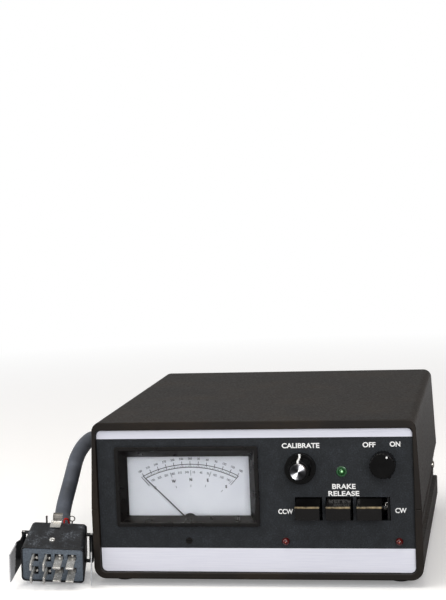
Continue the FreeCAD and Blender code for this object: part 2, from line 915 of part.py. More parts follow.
def make_meter_inside():
    x = meter_x
    wide = body_half_width
    tall = body_half_height
    keep("meter_lens", box((x - wide, window_face, window_z - tall),
                           (x + wide, lens_back, window_z + tall)))
    inside_low = housing_low + d.housing_wall
    inside_high = housing_high - d.housing_wall
    half = housing_half - d.housing_wall
    plate = box((x - half, dial_face, inside_low), (x + half, dial_back, inside_high))
    keep("meter_dial", cut(plate, rod("y", d.dial_hole_radius, dial_face, dial_back, x,
                                      pivot_height)))
    movement_end = housing_back - d.housing_wall
    block = box((x - d.movement_width / 2, dial_back, pivot_height - d.movement_fall),
                (x + d.movement_width / 2, movement_end, pivot_height + d.movement_rise))
    bore_radius = d.meter_shaft_radius + d.shaft_play
    bore_end = movement_end - d.dial_depth / 2
    bore = rod("y", bore_radius, dial_back, bore_end, x, pivot_height)
    keep("meter_movement", cut(block, bore))
    cover_face = lens_back + d.shaft_play
    cover_back = cover_face + d.pivot_cover_thickness
    radius = d.pivot_cover_width / 2
    centre = pivot_height + d.pivot_cover_rise - radius
    keep("meter_pivot_cover", fuse(
        box((x - radius, cover_face, inside_low), (x + radius, cover_back, centre)),
        rod("y", radius, cover_face, cover_back, x, centre)))


def make_needle():
    """The pointer with its hub and shaft, tilted to the left end of the scale."""
    hub_back = dial_face - d.panel_play
    shaft_end = housing_back - d.housing_wall - d.dial_depth / 2 - d.panel_play
    wide, slim = d.needle_width / 2, d.needle_tip_width / 2
    body = new_body()
    blade = [(-wide, -d.needle_tail), (wide, -d.needle_tail), (wide, 0), (slim, d.needle_length),
             (-slim, d.needle_length), (-wide, 0)]
    pad(body, "XZ_Plane", 0, d.needle_thickness, blade)
    pad(body, "XZ_Plane", 0, hub_back - needle_face, (0, 0, d.needle_hub_radius))
    pad(body, "XZ_Plane", 0, shaft_end - needle_face, (0, 0, d.meter_shaft_radius))
    turn = Rotation(Vector(0, 1, 0), -float(d.needle_rest_angle))
    place(body, meter_x, needle_face, pivot_height, turn=turn)
    return keep("meter_needle", body)


def make_zero_screw():
    x, z = meter_x, zero_height
    collar = panel_back + d.shaft_play
    head = rod("y", d.zero_screw_radius, face - d.trim_thickness, collar, x, z)
    ring = rod("y", d.zero_collar_radius, collar, collar + d.zero_screw_radius / 2, x, z)
    slot = box((x - d.zero_screw_radius, face - d.trim_thickness, z - d.trim_thickness),
               (x + d.zero_screw_radius, face + d.trim_thickness, z + d.trim_thickness))
    keep("zero_screw", cut(fuse(head, ring), slot))


def make_meter():
    make_bezel()
    make_housing()
    make_meter_inside()
    make_needle()
    make_zero_screw()


# Knobs and what they turn

FACING = Rotation(Vector(1, 0, 0), 90)  # local Z points out of the front panel


def knob_body(outline, flutes, flute_from, flute_at, x, z):
    """A fluted knob turned from an outline and hollowed over the bush and nut."""
    body = turned(outline)
    sketch = draw(body, "XY_Plane", flute_from, (flute_at, 0, d.flute_radius))
    groove = body.newObject("PartDesign::Pocket", "Pocket")
    groove.Profile = sketch
    groove.Reversed = True
    bind(groove, Length=d.knob_stand)
    doc.recompute()
    ring = body.newObject("PartDesign::PolarPattern", "PolarPattern")
    ring.Originals = [groove]
    ring.Axis = (origin_feature(body, "Z_Axis"), [""])
    ring.Angle = 360
    ring.Occurrences = flutes
    body.Tip = ring
    doc.recompute()
    return place(body, x, face, z, turn=FACING)


def make_calibrate_knob():
    low = d.knob_gap
    skirt_top = low + d.knob_skirt_height
    hollow = low + d.hollow_depth
    grip = hollow + d.spindle_bite
    high = d.knob_stand - d.knob_cap_proud
    seat = d.knob_stand - d.knob_cap_thickness
    outline = [(d.hollow_radius, low), (d.knob_skirt_radius, low), (d.knob_skirt_radius, skirt_top),
               (d.knob_body_radius, skirt_top), (d.knob_front_radius, high),
               (d.knob_cap_radius, high), (d.knob_cap_radius, seat), (0, seat), (0, grip),
               (d.spindle_radius, grip), (d.spindle_radius, hollow), (d.hollow_radius, hollow)]
    body = knob_body(outline, CALIBRATE_FLUTES, skirt_top, d.knob_body_radius + d.flute_radius / 2,
                     calibrate_x, calibrate_z)
    keep("calibrate_knob", body)
    cap = cone("y", d.knob_cap_radius - d.knob_cap_proud, d.knob_cap_radius,
               face - d.knob_stand, face - seat, calibrate_x, calibrate_z)
    keep("calibrate_knob_cap", cap)


def make_power_knob():
    low = d.knob_gap
    hollow = low + d.hollow_depth
    grip = d.power_knob_stand - d.wall
    high = d.power_knob_stand
    bevel = d.power_knob_radius - d.power_knob_front_radius
    outline = [(d.hollow_radius, low), (d.power_knob_radius, low),
               (d.power_knob_radius, high - bevel), (d.power_knob_front_radius, high), (0, high),
               (0, grip), (d.spindle_radius, grip), (d.spindle_radius, hollow),
               (d.hollow_radius, hollow)]
    body = knob_body(outline, POWER_FLUTES, low, d.power_knob_radius + d.flute_radius / 2,
                     power_x, power_z)
    nib = new_body()
    half, edge = d.power_nib / 2, -d.power_knob_radius
    pad(nib, "XY_Plane", low, high - bevel - low, rectangle(-half, edge - half, half, edge + half))
    turn = FACING * Rotation(Vector(0, 0, 1), float(d.power_nib_turn))
    place(nib, power_x, face, power_z, turn=turn)
    return keep("power_knob", fuse(body, nib))


def spindle_bushes(label, x, z, tip, end, case):
    """Spindle, threaded bush with its nut, and the case of the control behind the panel."""
    spindle_end = panel_back + end - d.wall
    keep(f"{label}_spindle", rod("y", d.spindle_radius, face - tip, spindle_end, x, z))
    bush = rod("y", d.bush_radius, face - d.bush_stand, panel_back, x, z)
    bore = rod("y", d.spindle_radius + d.shaft_play, face - d.bush_stand,
               spindle_end + d.panel_play, x, z)
    keep(f"{label}_control", cut(fuse(bush, case), bore))
    add_nut(d.spindle_nut_width, d.bush_radius, face - d.spindle_nut_thick, face, x, z)


def make_controls():
    make_calibrate_knob()
    make_power_knob()
    pot = rod("y", d.pot_radius, panel_back, panel_back + d.pot_depth, calibrate_x, calibrate_z)
    tip = d.knob_gap + d.hollow_depth + d.spindle_bite
    spindle_bushes("calibrate", calibrate_x, calibrate_z, tip, d.pot_depth, pot)
    half = d.power_switch_width / 2
    switch = box((power_x - half, panel_back, power_z - half),
                 (power_x + half, panel_back + d.power_switch_depth, power_z + half))
    tip = d.power_knob_stand - d.wall
    spindle_bushes("power", power_x, power_z, tip, d.power_switch_depth, switch)


# Lever paddles

def make_paddle(label, x):
    body = new_body()
    nose = face - d.paddle_reach
    inside = panel_back + d.wall / 2
    half_arm = d.paddle_arm_thick / 2
    end = pivot_y + d.paddle_arm
    ridge, top = pivot_z + d.paddle_ridge, pivot_z + d.paddle_top
    foot, under = pivot_z - d.paddle_foot, pivot_z - d.paddle_under
    outline = [(nose, ridge), (face, top), (inside, top), (pivot_y, pivot_z + d.hub_radius),
               (end, pivot_z + half_arm), (end, pivot_z - half_arm),
               (pivot_y, pivot_z - d.hub_radius), (inside, under), (face, under),
               (nose + d.paddle_round, foot)]
    pad(body, "YZ_Plane", x - d.paddle_width / 2, d.paddle_width, outline)
    soften(body, d.paddle_round, "x", (nose, ridge), (nose + d.paddle_round, foot))
    pad(body, "YZ_Plane", x - d.hub_width / 2, d.hub_width, (pivot_y, pivot_z, d.hub_radius))
    pocket(body, "YZ_Plane", x - d.hub_width / 2, d.hub_width,
           (pivot_y, pivot_z, d.axle_radius + d.shaft_play))
    return keep(label, body)


def make_paddles():
    centres = paddle_centres()
    for label, x in zip(("ccw_paddle", "brake_paddle", "cw_paddle"), centres):
        make_paddle(label, x)
    slot_right = centres[-1] + d.paddle_width / 2 + d.slot_side_play + d.slot_end
    left = centres[0] - d.hub_width / 2 - d.panel_play
    right = slot_right - d.frame_thick - d.wall / 4
    thick = d.frame_thick
    tube = box((left - thick, panel_back, frame_low), (right + thick, frame_back, frame_high))
    room = box((left, panel_back, frame_low + thick), (right, frame_back, frame_high - thick))
    leg_front = panel_back + d.led_length + d.panel_play
    legs = [box((left - thick, leg_front, floor), (left, frame_back, frame_low)),
            box((left - thick, leg_front, floor), (left + d.frame_foot, frame_back, floor + thick)),
            box((right, leg_front, floor), (right + thick, frame_back, frame_low)),
            box((right - d.frame_foot, leg_front, floor), (right + thick, frame_back, floor + thick))]
    axle = rod("x", d.axle_radius, left - thick, right + thick, pivot_y, pivot_z)
    bore = rod("x", d.axle_radius, left - thick, right + thick, pivot_y, pivot_z)
    keep("paddle_frame", cut(fuse(tube, *legs), room, bore))
    keep("paddle_axle", axle)
    switches = []
    high = frame_high - thick
    for x in centres:
        case = box((x - d.snap_width / 2, frame_back - d.snap_length, high - d.snap_height),
                   (x + d.snap_width / 2, frame_back, high))
        button = rod("z", d.snap_button_radius, high - d.snap_height - d.snap_button,
                     high - d.snap_height, x, pivot_y + d.paddle_arm - d.snap_button_radius)
        switches.append(fuse(case, button))
    keep("snap_switches", group(*switches))


# Indicator lamps

def led_places():
    low = bottom + d.case_height * d.low_led_up
    return [(outer * d.power_led_across, bottom + d.case_height * d.power_led_up),
            (outer * d.left_led_across, low), (outer * d.right_led_across, low)]


def make_leds():
    lamps, holders = [], []
    for x, z in led_places():
        tip = face - d.led_stand
        seat = panel_back + d.led_holder_length
        dome = doc.addObject("Part::Sphere", "Sphere")
        bind(dome, Radius=d.led_radius)
        place(dome, x, tip, z)
        stem = rod("y", d.led_radius, tip, seat, x, z)
        flange = rod("y", d.led_radius + d.led_flange, seat, panel_back + d.led_length, x, z)
        lamps.append(fuse(dome, stem, flange))
        ring = rod("y", d.led_radius + d.led_holder_wall, panel_back, seat, x, z)
        holders.append(cut(ring, rod("y", d.led_radius, panel_back, seat, x, z)))
    keep("power_led", lamps[0])
    keep("direction_leds", group(*lamps[1:]))
    keep("led_holders", group(*holders))


# Inside the case

def strap_screws():
    reach = d.core_width / 2 + d.strap_thick + d.strap_foot / 2
    return [(core_x + reach * side, d.core_y) for side in (-1, 1)]


def clip_screws():
    reach = d.can_radius + d.clip_foot / 2
    return [(can_x + reach * side, d.can_y + d.can_length / 2) for side in (-1, 1)]


def make_transformer():
    x, y, leg = core_x, d.core_y, d.core_leg
    half, stack, high = d.core_width / 2, d.core_stack / 2, floor + d.core_height
    block = box((x - half, y - stack, floor), (x + half, y + stack, high))
    windows = [box((x + a, y - stack, floor + leg), (x + b, y + stack, high - leg))
               for a, b in ((leg - half, -leg), (leg, half - leg))]
    keep("transformer_core", cut(block, *windows))
    swell = stack + d.coil_swell
    coil = box((x + leg - half, y - swell, floor + leg), (x + half - leg, y + swell, high - leg))
    keep("transformer_coil", cut(coil, box((x - leg, y - stack, floor + leg),
                                           (x + leg, y + stack, high - leg))))
    thick, wide = d.strap_thick, d.strap_width / 2
    hoop = box((x - half - thick, y - wide, floor), (x + half + thick, y + wide, high + thick))
    feet = box((x - half - thick - d.strap_foot, y - wide, floor),
               (x + half + thick + d.strap_foot, y + wide, floor + thick))
    holes = [rod("z", d.screw_radius, floor, floor + thick, a, b) for a, b in strap_screws()]
    room = box((x - half, y - wide, floor), (x + half, y + wide, high))
    keep("transformer_strap", cut(fuse(hoop, feet), room, *holes))


def make_capacitor():
    x, y, radius = can_x, d.can_y, d.can_radius
    z = floor + d.can_lift + radius
    keep("motor_capacitor", rod("y", radius, y, y + d.can_length, x, z))
    start = y + d.can_length / 2 - d.clip_width / 2
    end = start + d.clip_width
    foot = radius + d.clip_foot
    band = rod("y", radius + d.clip_thick, start, end, x, z)
    base = box((x - foot, start, floor), (x + foot, end, floor + d.can_lift))
    holes = [rod("z", d.screw_radius, floor, floor + d.can_lift, a, b) for a, b in clip_screws()]
    keep("capacitor_clip", cut(fuse(band, base), rod("y", radius, start, end, x, z), *holes))


def board_screws():
    wide = d.board_width / 2 - d.standoff_inset
    long = d.board_length / 2 - d.standoff_inset
    return [(board_x + wide * a, d.board_y + long * b) for a in (-1, 1) for b in (-1, 1)]


def make_chassis_screws():
    board = floor + d.standoff_height
    seats = ((strap_screws(), floor, floor + d.strap_thick), (clip_screws(), floor, floor + d.can_lift),
             (board_screws(), board - d.standoff_height / 2, board + d.board_thick))
    keep("chassis_screws", group(*[
        screw_z(x, y, seat, tip, head_below=False) for spots, tip, seat in seats for x, y in spots]))


def make_circuit_board():
    x, y = board_x, d.board_y
    wide, long = d.board_width / 2, d.board_length / 2
    low = floor + d.standoff_height
    high = low + d.board_thick
    spots = board_screws()
    board = box((x - wide, y - long, low), (x + wide, y + long, high))
    keep("circuit_board", cut(board, *[rod("z", d.screw_radius, low, high, a, b) for a, b in spots]))
    keep("board_standoffs", group(*[
        cut(rod("z", d.standoff_radius, floor, low, a, b), rod("z", d.screw_radius, floor, low, a, b))
        for a, b in spots]))
    tall = d.standoff_height
    first = x - wide + d.relay_pitch
    relays = [box((first + d.relay_pitch * n, y - tall, high),
                  (first + d.relay_pitch * n + d.relay_width, y + tall, high + tall))
              for n in range(3)]
    cans = [rod("z", tall / 2, high, high + d.small_can_height, x + wide - d.relay_pitch,
                y + d.relay_pitch * n)
            for n in (-1, 0, 1)]
    keep("board_parts", group(*relays, *cans))


# Rear panel fittings

def make_inlet():
    x, z = inlet_x, d.inlet_z
    outside = rear_face + d.inlet_flange_thick

    def slab(width, height, start, end):
        return box((x - width / 2, start, z - height / 2), (x + width / 2, end, z + height / 2))

    flange = slab(d.inlet_flange_width, d.inlet_flange_height, rear_face, outside)
    core = slab(d.inlet_body_width, d.inlet_body_height, rear_face - d.inlet_body_depth, rear_face)
    deep = outside - d.inlet_socket_depth
    socket = slab(d.inlet_socket_width, d.inlet_socket_height, deep, outside)
    spots = [x + d.inlet_screw_pitch / 2 * side for side in (-1, 1)]
    holes = [rod("y", d.screw_radius, rear_face, outside, at, z) for at in spots]
    keep("mains_inlet", cut(fuse(flange, core), socket, *holes))
    pins = []
    for count in (-1, 0, 1):
        at = x + d.inlet_pin_pitch * count
        pins.append(box((at - d.inlet_pin_thick / 2, deep, z - d.inlet_pin_width / 2),
                        (at + d.inlet_pin_thick / 2, deep + d.inlet_pin_length,
                         z + d.inlet_pin_width / 2)))
    keep("inlet_pins", group(*pins))
    screws = []
    nut_end = rear_inside - d.gland_nut_thick / 2
    for at in spots:
        screws.append(fuse(
            rod("y", d.screw_radius, nut_end, outside, at, z),
            rod("y", d.screw_head_radius, outside, outside + d.screw_head_height, at, z)))
        add_nut(d.screw_head_radius * 2, d.screw_radius, nut_end, rear_inside, at, z)
    keep("inlet_screws", group(*screws))


def make_fuse():
    x, z = fuse_x, d.fuse_z
    outside = rear_face + d.fuse_collar_thick
    inside = rear_face - d.fuse_body_depth
    bottom_of_bore = inside + d.fuse_collar_thick
    bore = d.fuse_radius + d.trim_thickness
    holder = fuse(rod("y", d.fuse_body_radius, inside, rear_face, x, z),
                  rod("y", d.fuse_collar_radius, rear_face, outside, x, z))
    keep("fuse_holder", cut(holder, rod("y", bore, bottom_of_bore, outside, x, z)))
    keep("fuse", rod("y", d.fuse_radius, bottom_of_bore, bottom_of_bore + d.fuse_length, x, z))
    tip = outside + d.fuse_cap_stand
    start = outside + d.shaft_play
    cap = fuse(rod("y", d.fuse_cap_radius, start, tip, x, z),
               rod("y", bore - d.shaft_play, outside - d.fuse_collar_thick, start, x, z))
    slot = box((x - d.fuse_cap_radius, tip - d.board_thick, z - d.trim_thickness),
               (x + d.fuse_cap_radius, tip, z + d.trim_thickness))
    keep("fuse_cap", cut(cap, slot))


def make_gland():
    x, z = gland_x, d.gland_z
    stand, hex_top = d.gland_stand, d.gland_hex_thick
    outline = [(0, -d.gland_thread_depth), (d.gland_thread_radius, -d.gland_thread_depth),
               (d.gland_thread_radius, 0), (d.gland_radius, 0),
               (d.gland_radius, (stand + hex_top) / 2), (d.gland_nose_radius, stand),
               (0, stand)]
    body = place(turned(outline), x, rear_face, z, turn=TURNS["y"])
    collar = hexagon("y", d.gland_hex_width, rear_face, rear_face + hex_top, x, z)
    keep("cable_gland", fuse(body, collar))
    add_nut(d.gland_hex_width, d.gland_thread_radius, rear_inside - d.gland_nut_thick, rear_inside,
            x, z)


# Plug: drawn with its face at the origin and its tail towards +Y, then laid down

plug_face = (-outer - d.plug_beside, front - d.plug_ahead, d.plug_lift)
PLUG_YAW = 6.5
PLUG_PITCH = 16.5
PLUG_ROLL = 4.3
plug_turn = (Rotation(Vector(0, 0, 1), PLUG_YAW) * Rotation(Vector(1, 0, 0), PLUG_PITCH)
             * Rotation(Vector(0, 1, 0), PLUG_ROLL))


def lay(label, thing):
    return keep(label, place(thing, *plug_face, turn=plug_turn))


def plug_point(x, y, z):
    here = Vector(*[float(value) for value in plug_face])
    return here + plug_turn.multVec(Vector(float(x), float(y), float(z)))


def blade_places():
    """Centres of the eight blades, and whether each stands upright."""
    places = []
    for column in range(4):
        x = d.blade_pitch_x * (column - 1.5)
        for level in (-0.5, 0.5):
            places.append((x, d.blade_pitch_z * level, column < 2))
    return places


def blade(x, z, upright, start, end):
    wide, tall = (d.blade_thick, d.blade_width) if upright else (d.blade_width, d.blade_thick)
    return box((x - wide / 2, start, z - tall / 2), (x + wide / 2, end, z + tall / 2))


def blade_well(x, z, upright):
    """The sunk space round a blade's root, wider on the side where its wire's eyelet shows."""
    play, beside = d.well_play, d.blade_thick / 2 + d.well_beside
    wide, tall = d.blade_width / 2 + play, d.blade_thick / 2 + play
    low, high = ((x - tall, z - wide), (x + beside, z + wide)) if upright else \
        ((x - wide, z - tall), (x + wide, z + beside))
    return box((low[0], d.insulator_recess, low[1]),
               (high[0], d.insulator_recess + d.well_depth, high[1]))


def plug_half(y):
    """Half of the shell's width at a depth behind its face."""
    return d.plug_width / 2 - (d.plug_width - d.plug_tail_width) / 2 * y / d.plug_length


def plug_plan(inset, start, end):
    """The plug from above between two depths: it narrows towards its tail."""
    near, far = plug_half(start) - inset, plug_half(end) - inset
    return [(-near, start), (near, start), (far, end), (-far, end)]


def make_plug():
    half, tall, wall = d.plug_width / 2, d.plug_height / 2, d.plug_wall
    long = d.plug_length
    body = new_body()
    pad(body, "XY_Plane", -tall, d.plug_height, plug_plan(0, 0, long))
    soften_lengthwise(body, d.plug_round, -tall, tall)
    room = d.plug_height - wall * 2
    pocket(body, "XY_Plane", wall - tall, room, plug_plan(wall, 0, long - wall))
    inside_round = d.plug_round - wall
    soften_lengthwise(body, inside_round, wall - tall, tall - wall)
    lug = d.latch_height / 2 + d.trim_thickness
    lug_end = lug + d.latch_gap
    hinge = half + d.latch_gap + d.latch_thick / 2
    lugs = []
    for side in (-1, 1):
        near, far = plug_half(d.latch_root + d.latch_gap) - wall / 2, hinge + d.latch_gap
        a, b = (near, far) if side > 0 else (-far, -near)
        for low, high in ((lug, lug_end), (-lug_end, -lug)):
            lugs.append(box((a, d.latch_root - d.latch_gap, low),
                            (b, d.latch_root + d.latch_gap, high)))
    pins = [rod("z", d.latch_thick, -lug_end, lug_end, hinge * side, d.latch_root) for side in (-1, 1)]
    holes = [rod("z", d.latch_thick, -lug_end, lug_end, hinge * side, d.latch_root)
             for side in (-1, 1)]
    lay("plug_shell", cut(fuse(body, *lugs), *holes))
    lay("latch_pins", group(*pins))

    core = new_body()
    pad(core, "XY_Plane", wall - tall, room, plug_plan(wall, d.insulator_recess, d.insulator_depth))
    soften_lengthwise(core, inside_round, wall - tall, tall - wall)
    slots = [blade(x, z, upright, 0, d.blade_root) for x, z, upright in blade_places()]
    wells = [blade_well(*place_of_blade) for place_of_blade in blade_places()]
    lay("plug_insulator", cut(core, *slots, *wells))
    lay("plug_blades", group(*[blade(x, z, upright, -d.blade_length, d.blade_root)
                               for x, z, upright in blade_places()]))

    end = long + d.clamp_length
    grip = d.cable_radius + d.shaft_play
    saddle = rod("y", grip + wall, long, end, 0, 0)
    ears = box((-d.clamp_width - wall, long, -wall), (d.clamp_width + wall, end, wall))
    middle = long + d.clamp_length / 2
    screw_spots = [(d.clamp_width - wall) * side for side in (-1, 1)]
    bores = [rod("z", wall, -wall, wall, x, middle) for x in screw_spots]
    lay("plug_clamp", cut(fuse(saddle, ears), rod("y", grip, long, end, 0, 0), *bores))
    heads = [fuse(rod("z", d.clamp_head_radius, wall, wall * 2, x, middle),
                  rod("z", wall, -wall, wall, x, middle))
             for x in screw_spots]
    top = rod("z", d.top_screw_radius, tall, tall + wall, -wall * 2, d.insulator_depth + wall * 2)
    lay("plug_screws", group(*heads, top))


def make_latch(label, side):
    """A spring plate beside the plug that flares out towards its face."""
    hinge = (d.plug_width / 2 + d.latch_gap + d.latch_thick / 2) * side
    tall, tip = d.latch_height / 2, -d.latch_length
    high = tall + d.latch_rise
    body = new_body()
    pad(body, "YZ_Plane", -d.latch_thick / 2, d.latch_thick,
        [(0, -tall), (0, tall), (tip / 4, tall), (tip / 2, high), (tip, high), (tip, -tall)])
    turn = Rotation(Vector(0, 0, 1), float(d.latch_flare) * side)
    plate = place(body, hinge, d.latch_root, 0, turn=turn)
    barrel = rod("z", d.barrel_radius, -tall, tall, hinge, d.latch_root)
    bore = rod("z", d.latch_thick + d.shaft_play, -tall, tall, hinge, d.latch_root)
    lay(label, cut(fuse(plate, barrel), bore))


# Lead

CABLE_START = (-27.0, 126.5, 36.0)
CABLE_POINTS = [
    (-27.0, 153.0, 36.0),
    (-35.5, 184.5, 32.0),
    (-58.9, 208.2, 22.0),
    (-90.8, 217.0, 12.0),
    (-122.7, 209.0, 7.2),
    (-146.0, 185.5, 7.0),
    (-154.5, 153.5, 14.0),
    (-155.0, 122.0, 35.0),
    (-154.0, 88.0, 58.0),
    (-149.7, 52.0, 70.8),
    (-152.2, 16.0, 64.9),
    (-149.1, -16.0, 50.9),
    (-148.5, -45.5, 33.2),
]
CABLE_END = (-139.18, -85.46, 23.87)
CABLE_TAIL = 16.0


def cable_route():
    """The drawn points, carried along when the gland or the plug is somewhere else."""
    start = Vector(float(gland_x), float(rear_face + d.gland_stand), float(d.gland_z))
    end = plug_point(0, d.plug_length, 0)
    ahead = plug_point(0, d.plug_length + CABLE_TAIL, 0)
    at_start, at_end = start - Vector(*CABLE_START), end - Vector(*CABLE_END)
    last = len(CABLE_POINTS) - 1
    between = [Vector(*point) + at_start * (1 - count / last) + at_end * (count / last)
               for count, point in enumerate(CABLE_POINTS)]
    return [start, *between, ahead, end]


def cable_path(points):
    """Straight runs joined by tangent arcs, each as large as its two runs allow."""
    edges, here = [], points[0]
    for before, corner, after in zip(points, points[1:], points[2:]):
        back, onward = before - corner, after - corner
        turn = math.pi - back.getAngle(onward)
        shorter = min(back.Length, onward.Length)
        reach = 0.45 * shorter
        print(f"cable bend radius {reach / math.tan(turn / 2):.1f}, turn {math.degrees(turn):.1f}, "
              f"shorter run {shorter:.1f}")
        arc_start = corner + back.normalize() * reach
        arc_end = corner + onward.normalize() * reach
        inward = (arc_start + arc_end) * 0.5 - corner
        middle = corner + inward.normalize() * bulge(reach, turn)
        edges += [Part.LineSegment(here, arc_start).toShape(),
                  Part.Arc(arc_start, middle, arc_end).toShape()]
        here = arc_end
    edges.append(Part.LineSegment(here, points[-1]).toShape())
    return Part.Wire(edges)


def bulge(reach, turn):
    """Distance from a corner to the middle of the arc that rounds it."""
    radius = reach / math.tan(turn / 2)
    return radius / math.cos(turn / 2) - radius


def make_cable():
    points = cable_route()
    path = cable_path(points)
    radius = float(d.cable_radius)
    ring = Part.Wire([Part.Circle(points[0], Vector(0, 1, 0), radius).toShape()])
    tube = path.makePipeShell([ring], True, False)
    share = tube.Volume / (math.pi * radius ** 2 * path.Length)
    print(f"cable length {path.Length:.1f}, volume over section times length {share:.4f}")
    made = doc.addObject("Part::Feature", "Cable")
    made.Shape = tube
    keep("control_cable", made)


# Everything together

def check_and_write():
    doc.recompute()
    for item in doc.Objects:
        if "Invalid" in item.State or "Error" in item.State:
            raise ValueError(f"{item.Name} ({item.Label}) failed: {item.State}")
    for label, part in parts.items():
        if part.Shape.isNull() or not part.Shape.isValid() or not part.Shape.Solids:
            raise ValueError(f"{label} has no valid shape")
    os.makedirs("parts", exist_ok=True)
    for label, part in parts.items():
        part.Shape.exportStep(f"parts/{label}.step")
        box_of = part.Shape.BoundBox
        print(f"{label}: {len(part.Shape.Solids)} solids, volume {part.Shape.Volume:.0f}, "
              f"{box_of.XMin:.1f}..{box_of.XMax:.1f} {box_of.YMin:.1f}..{box_of.YMax:.1f} "
              f"{box_of.ZMin:.1f}..{box_of.ZMax:.1f}")


make_top_cover()
make_bottom_shell()
make_case_screws()
make_feet()
make_front_panel()
make_trims()
make_rear_panel()
make_meter()
make_controls()
make_paddles()
make_leds()
make_transformer()
make_capacitor()
make_chassis_screws()
make_circuit_board()
make_inlet()
make_fuse()
make_gland()
make_plug()
make_latch("plug_latch_left", -1)
make_latch("plug_latch_right", 1)
make_cable()
keep("panel_nuts", group(*nuts))
check_and_write()
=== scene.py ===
import math

import bmesh
import bpy
from mathutils import Matrix, Vector


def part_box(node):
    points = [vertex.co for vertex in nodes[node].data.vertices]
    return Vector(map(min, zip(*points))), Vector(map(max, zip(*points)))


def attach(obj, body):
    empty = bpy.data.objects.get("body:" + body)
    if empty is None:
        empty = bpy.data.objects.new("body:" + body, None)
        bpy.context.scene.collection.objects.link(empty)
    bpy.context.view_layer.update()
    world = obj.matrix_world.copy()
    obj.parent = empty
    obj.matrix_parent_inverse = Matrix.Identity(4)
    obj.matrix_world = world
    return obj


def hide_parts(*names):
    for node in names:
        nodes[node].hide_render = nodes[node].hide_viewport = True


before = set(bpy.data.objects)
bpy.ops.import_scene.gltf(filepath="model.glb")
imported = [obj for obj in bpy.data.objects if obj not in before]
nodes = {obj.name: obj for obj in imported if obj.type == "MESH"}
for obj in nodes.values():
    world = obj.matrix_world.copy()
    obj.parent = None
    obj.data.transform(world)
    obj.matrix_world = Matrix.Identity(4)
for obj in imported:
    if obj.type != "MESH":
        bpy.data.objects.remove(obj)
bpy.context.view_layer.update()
print("frame loaded", len(nodes), "nodes")


# Small tools

def linearColour(hexColour):
    values = [int(hexColour[at:at + 2], 16) / 255 for at in (0, 2, 4)]
    return tuple(v / 12.92 if v <= 0.04045 else ((v + 0.055) / 1.055) ** 2.4 for v in values) + (1.0,)


def addNode(tree, kind, settings=None, links=None):
    node = tree.nodes.new(kind)
    for name, value in (settings or {}).items():
        if isinstance(name, int) or name in node.inputs:
            node.inputs[name].default_value = value
        else:
            setattr(node, name, value)
    for name, source in (links or {}).items():
        tree.links.new(source, node.inputs[name])
    return node


def maths(tree, operation, *values):
    # one step of arithmetic on numbers and sockets, in the order of the node's inputs
    node = addNode(tree, "ShaderNodeMath", {"operation": operation})
    for at, value in enumerate(values):
        if isinstance(value, (int, float)):
            node.inputs[at].default_value = value
        else:
            tree.links.new(value, node.inputs[at])
    return node.outputs[0]


def placed(name, data):
    made = bpy.data.objects.new(name, data)
    bpy.context.collection.objects.link(made)
    return made


def plainMesh(data):
    # a curve, some text or a modified mesh as one plain mesh
    holder = placed(data.name, data)
    mesh = bpy.data.meshes.new_from_object(holder.evaluated_get(bpy.context.evaluated_depsgraph_get()))
    bpy.data.objects.remove(holder)
    return mesh


def startMaterial(name, **surface):
    # a surface shader with its plain numbers set, and the piece's own coordinates
    made = bpy.data.materials.new(name)
    made.use_nodes = True
    tree = made.node_tree
    shader = tree.nodes["Principled BSDF"]
    for socket, value in surface.items():
        shader.inputs[socket.replace("_", " ")].default_value = value
    place = addNode(tree, "ShaderNodeTexCoord").outputs["Object"]
    return made, tree, shader, place


def mottle(tree, place, grainMm, detail=3.0, roughness=0.6):
    # soft noise whose grains are about this many millimetres across
    return addNode(tree, "ShaderNodeTexNoise",
                   {"Scale": 1000.0 / grainMm, "Detail": detail, "Roughness": roughness},
                   {"Vector": place}).outputs["Fac"]


def ramp(tree, factor, *stops):
    # colour stops as (place, sRGB hex)
    node = addNode(tree, "ShaderNodeValToRGB", links={"Fac": factor})
    band = node.color_ramp
    band.elements[0].position, band.elements[1].position = stops[0][0], stops[-1][0]
    band.elements[0].color = linearColour(stops[0][1])
    band.elements[1].color = linearColour(stops[-1][1])
    for place, colour in stops[1:-1]:
        band.elements.new(place).color = linearColour(colour)
    return node.outputs["Color"]


def spread(tree, factor, low, high, start=0.0, end=1.0):
    return addNode(tree, "ShaderNodeMapRange", {1: start, 2: end, 3: low, 4: high},
                   {0: factor}).outputs["Result"]


def mixed(tree, factor, first, second):
    # from the first colour to the second, as sockets
    return addNode(tree, "ShaderNodeMix", {"data_type": "RGBA"}, {0: factor, 6: first, 7: second}).outputs[2]


def flat(tree, colour):
    # one plain colour as a socket
    node = addNode(tree, "ShaderNodeRGB")
    node.outputs[0].default_value = linearColour(colour)
    return node.outputs[0]


def feed(tree, shader, source, socket="Base Color"):
    tree.links.new(source, shader.inputs[socket])


def relief(tree, shader, height, depthMm, strength=1.0, under=None):
    # bump whose full height is this many millimetres
    links = {"Height": height}
    if under:
        links["Normal"] = under
    bump = addNode(tree, "ShaderNodeBump", {"Strength": strength, "Distance": depthMm / 1000}, links)
    tree.links.new(bump.outputs["Normal"], shader.inputs["Normal"])
    return bump.outputs["Normal"]


# The plug's sizes and place in millimetres and degrees; its material needs them too

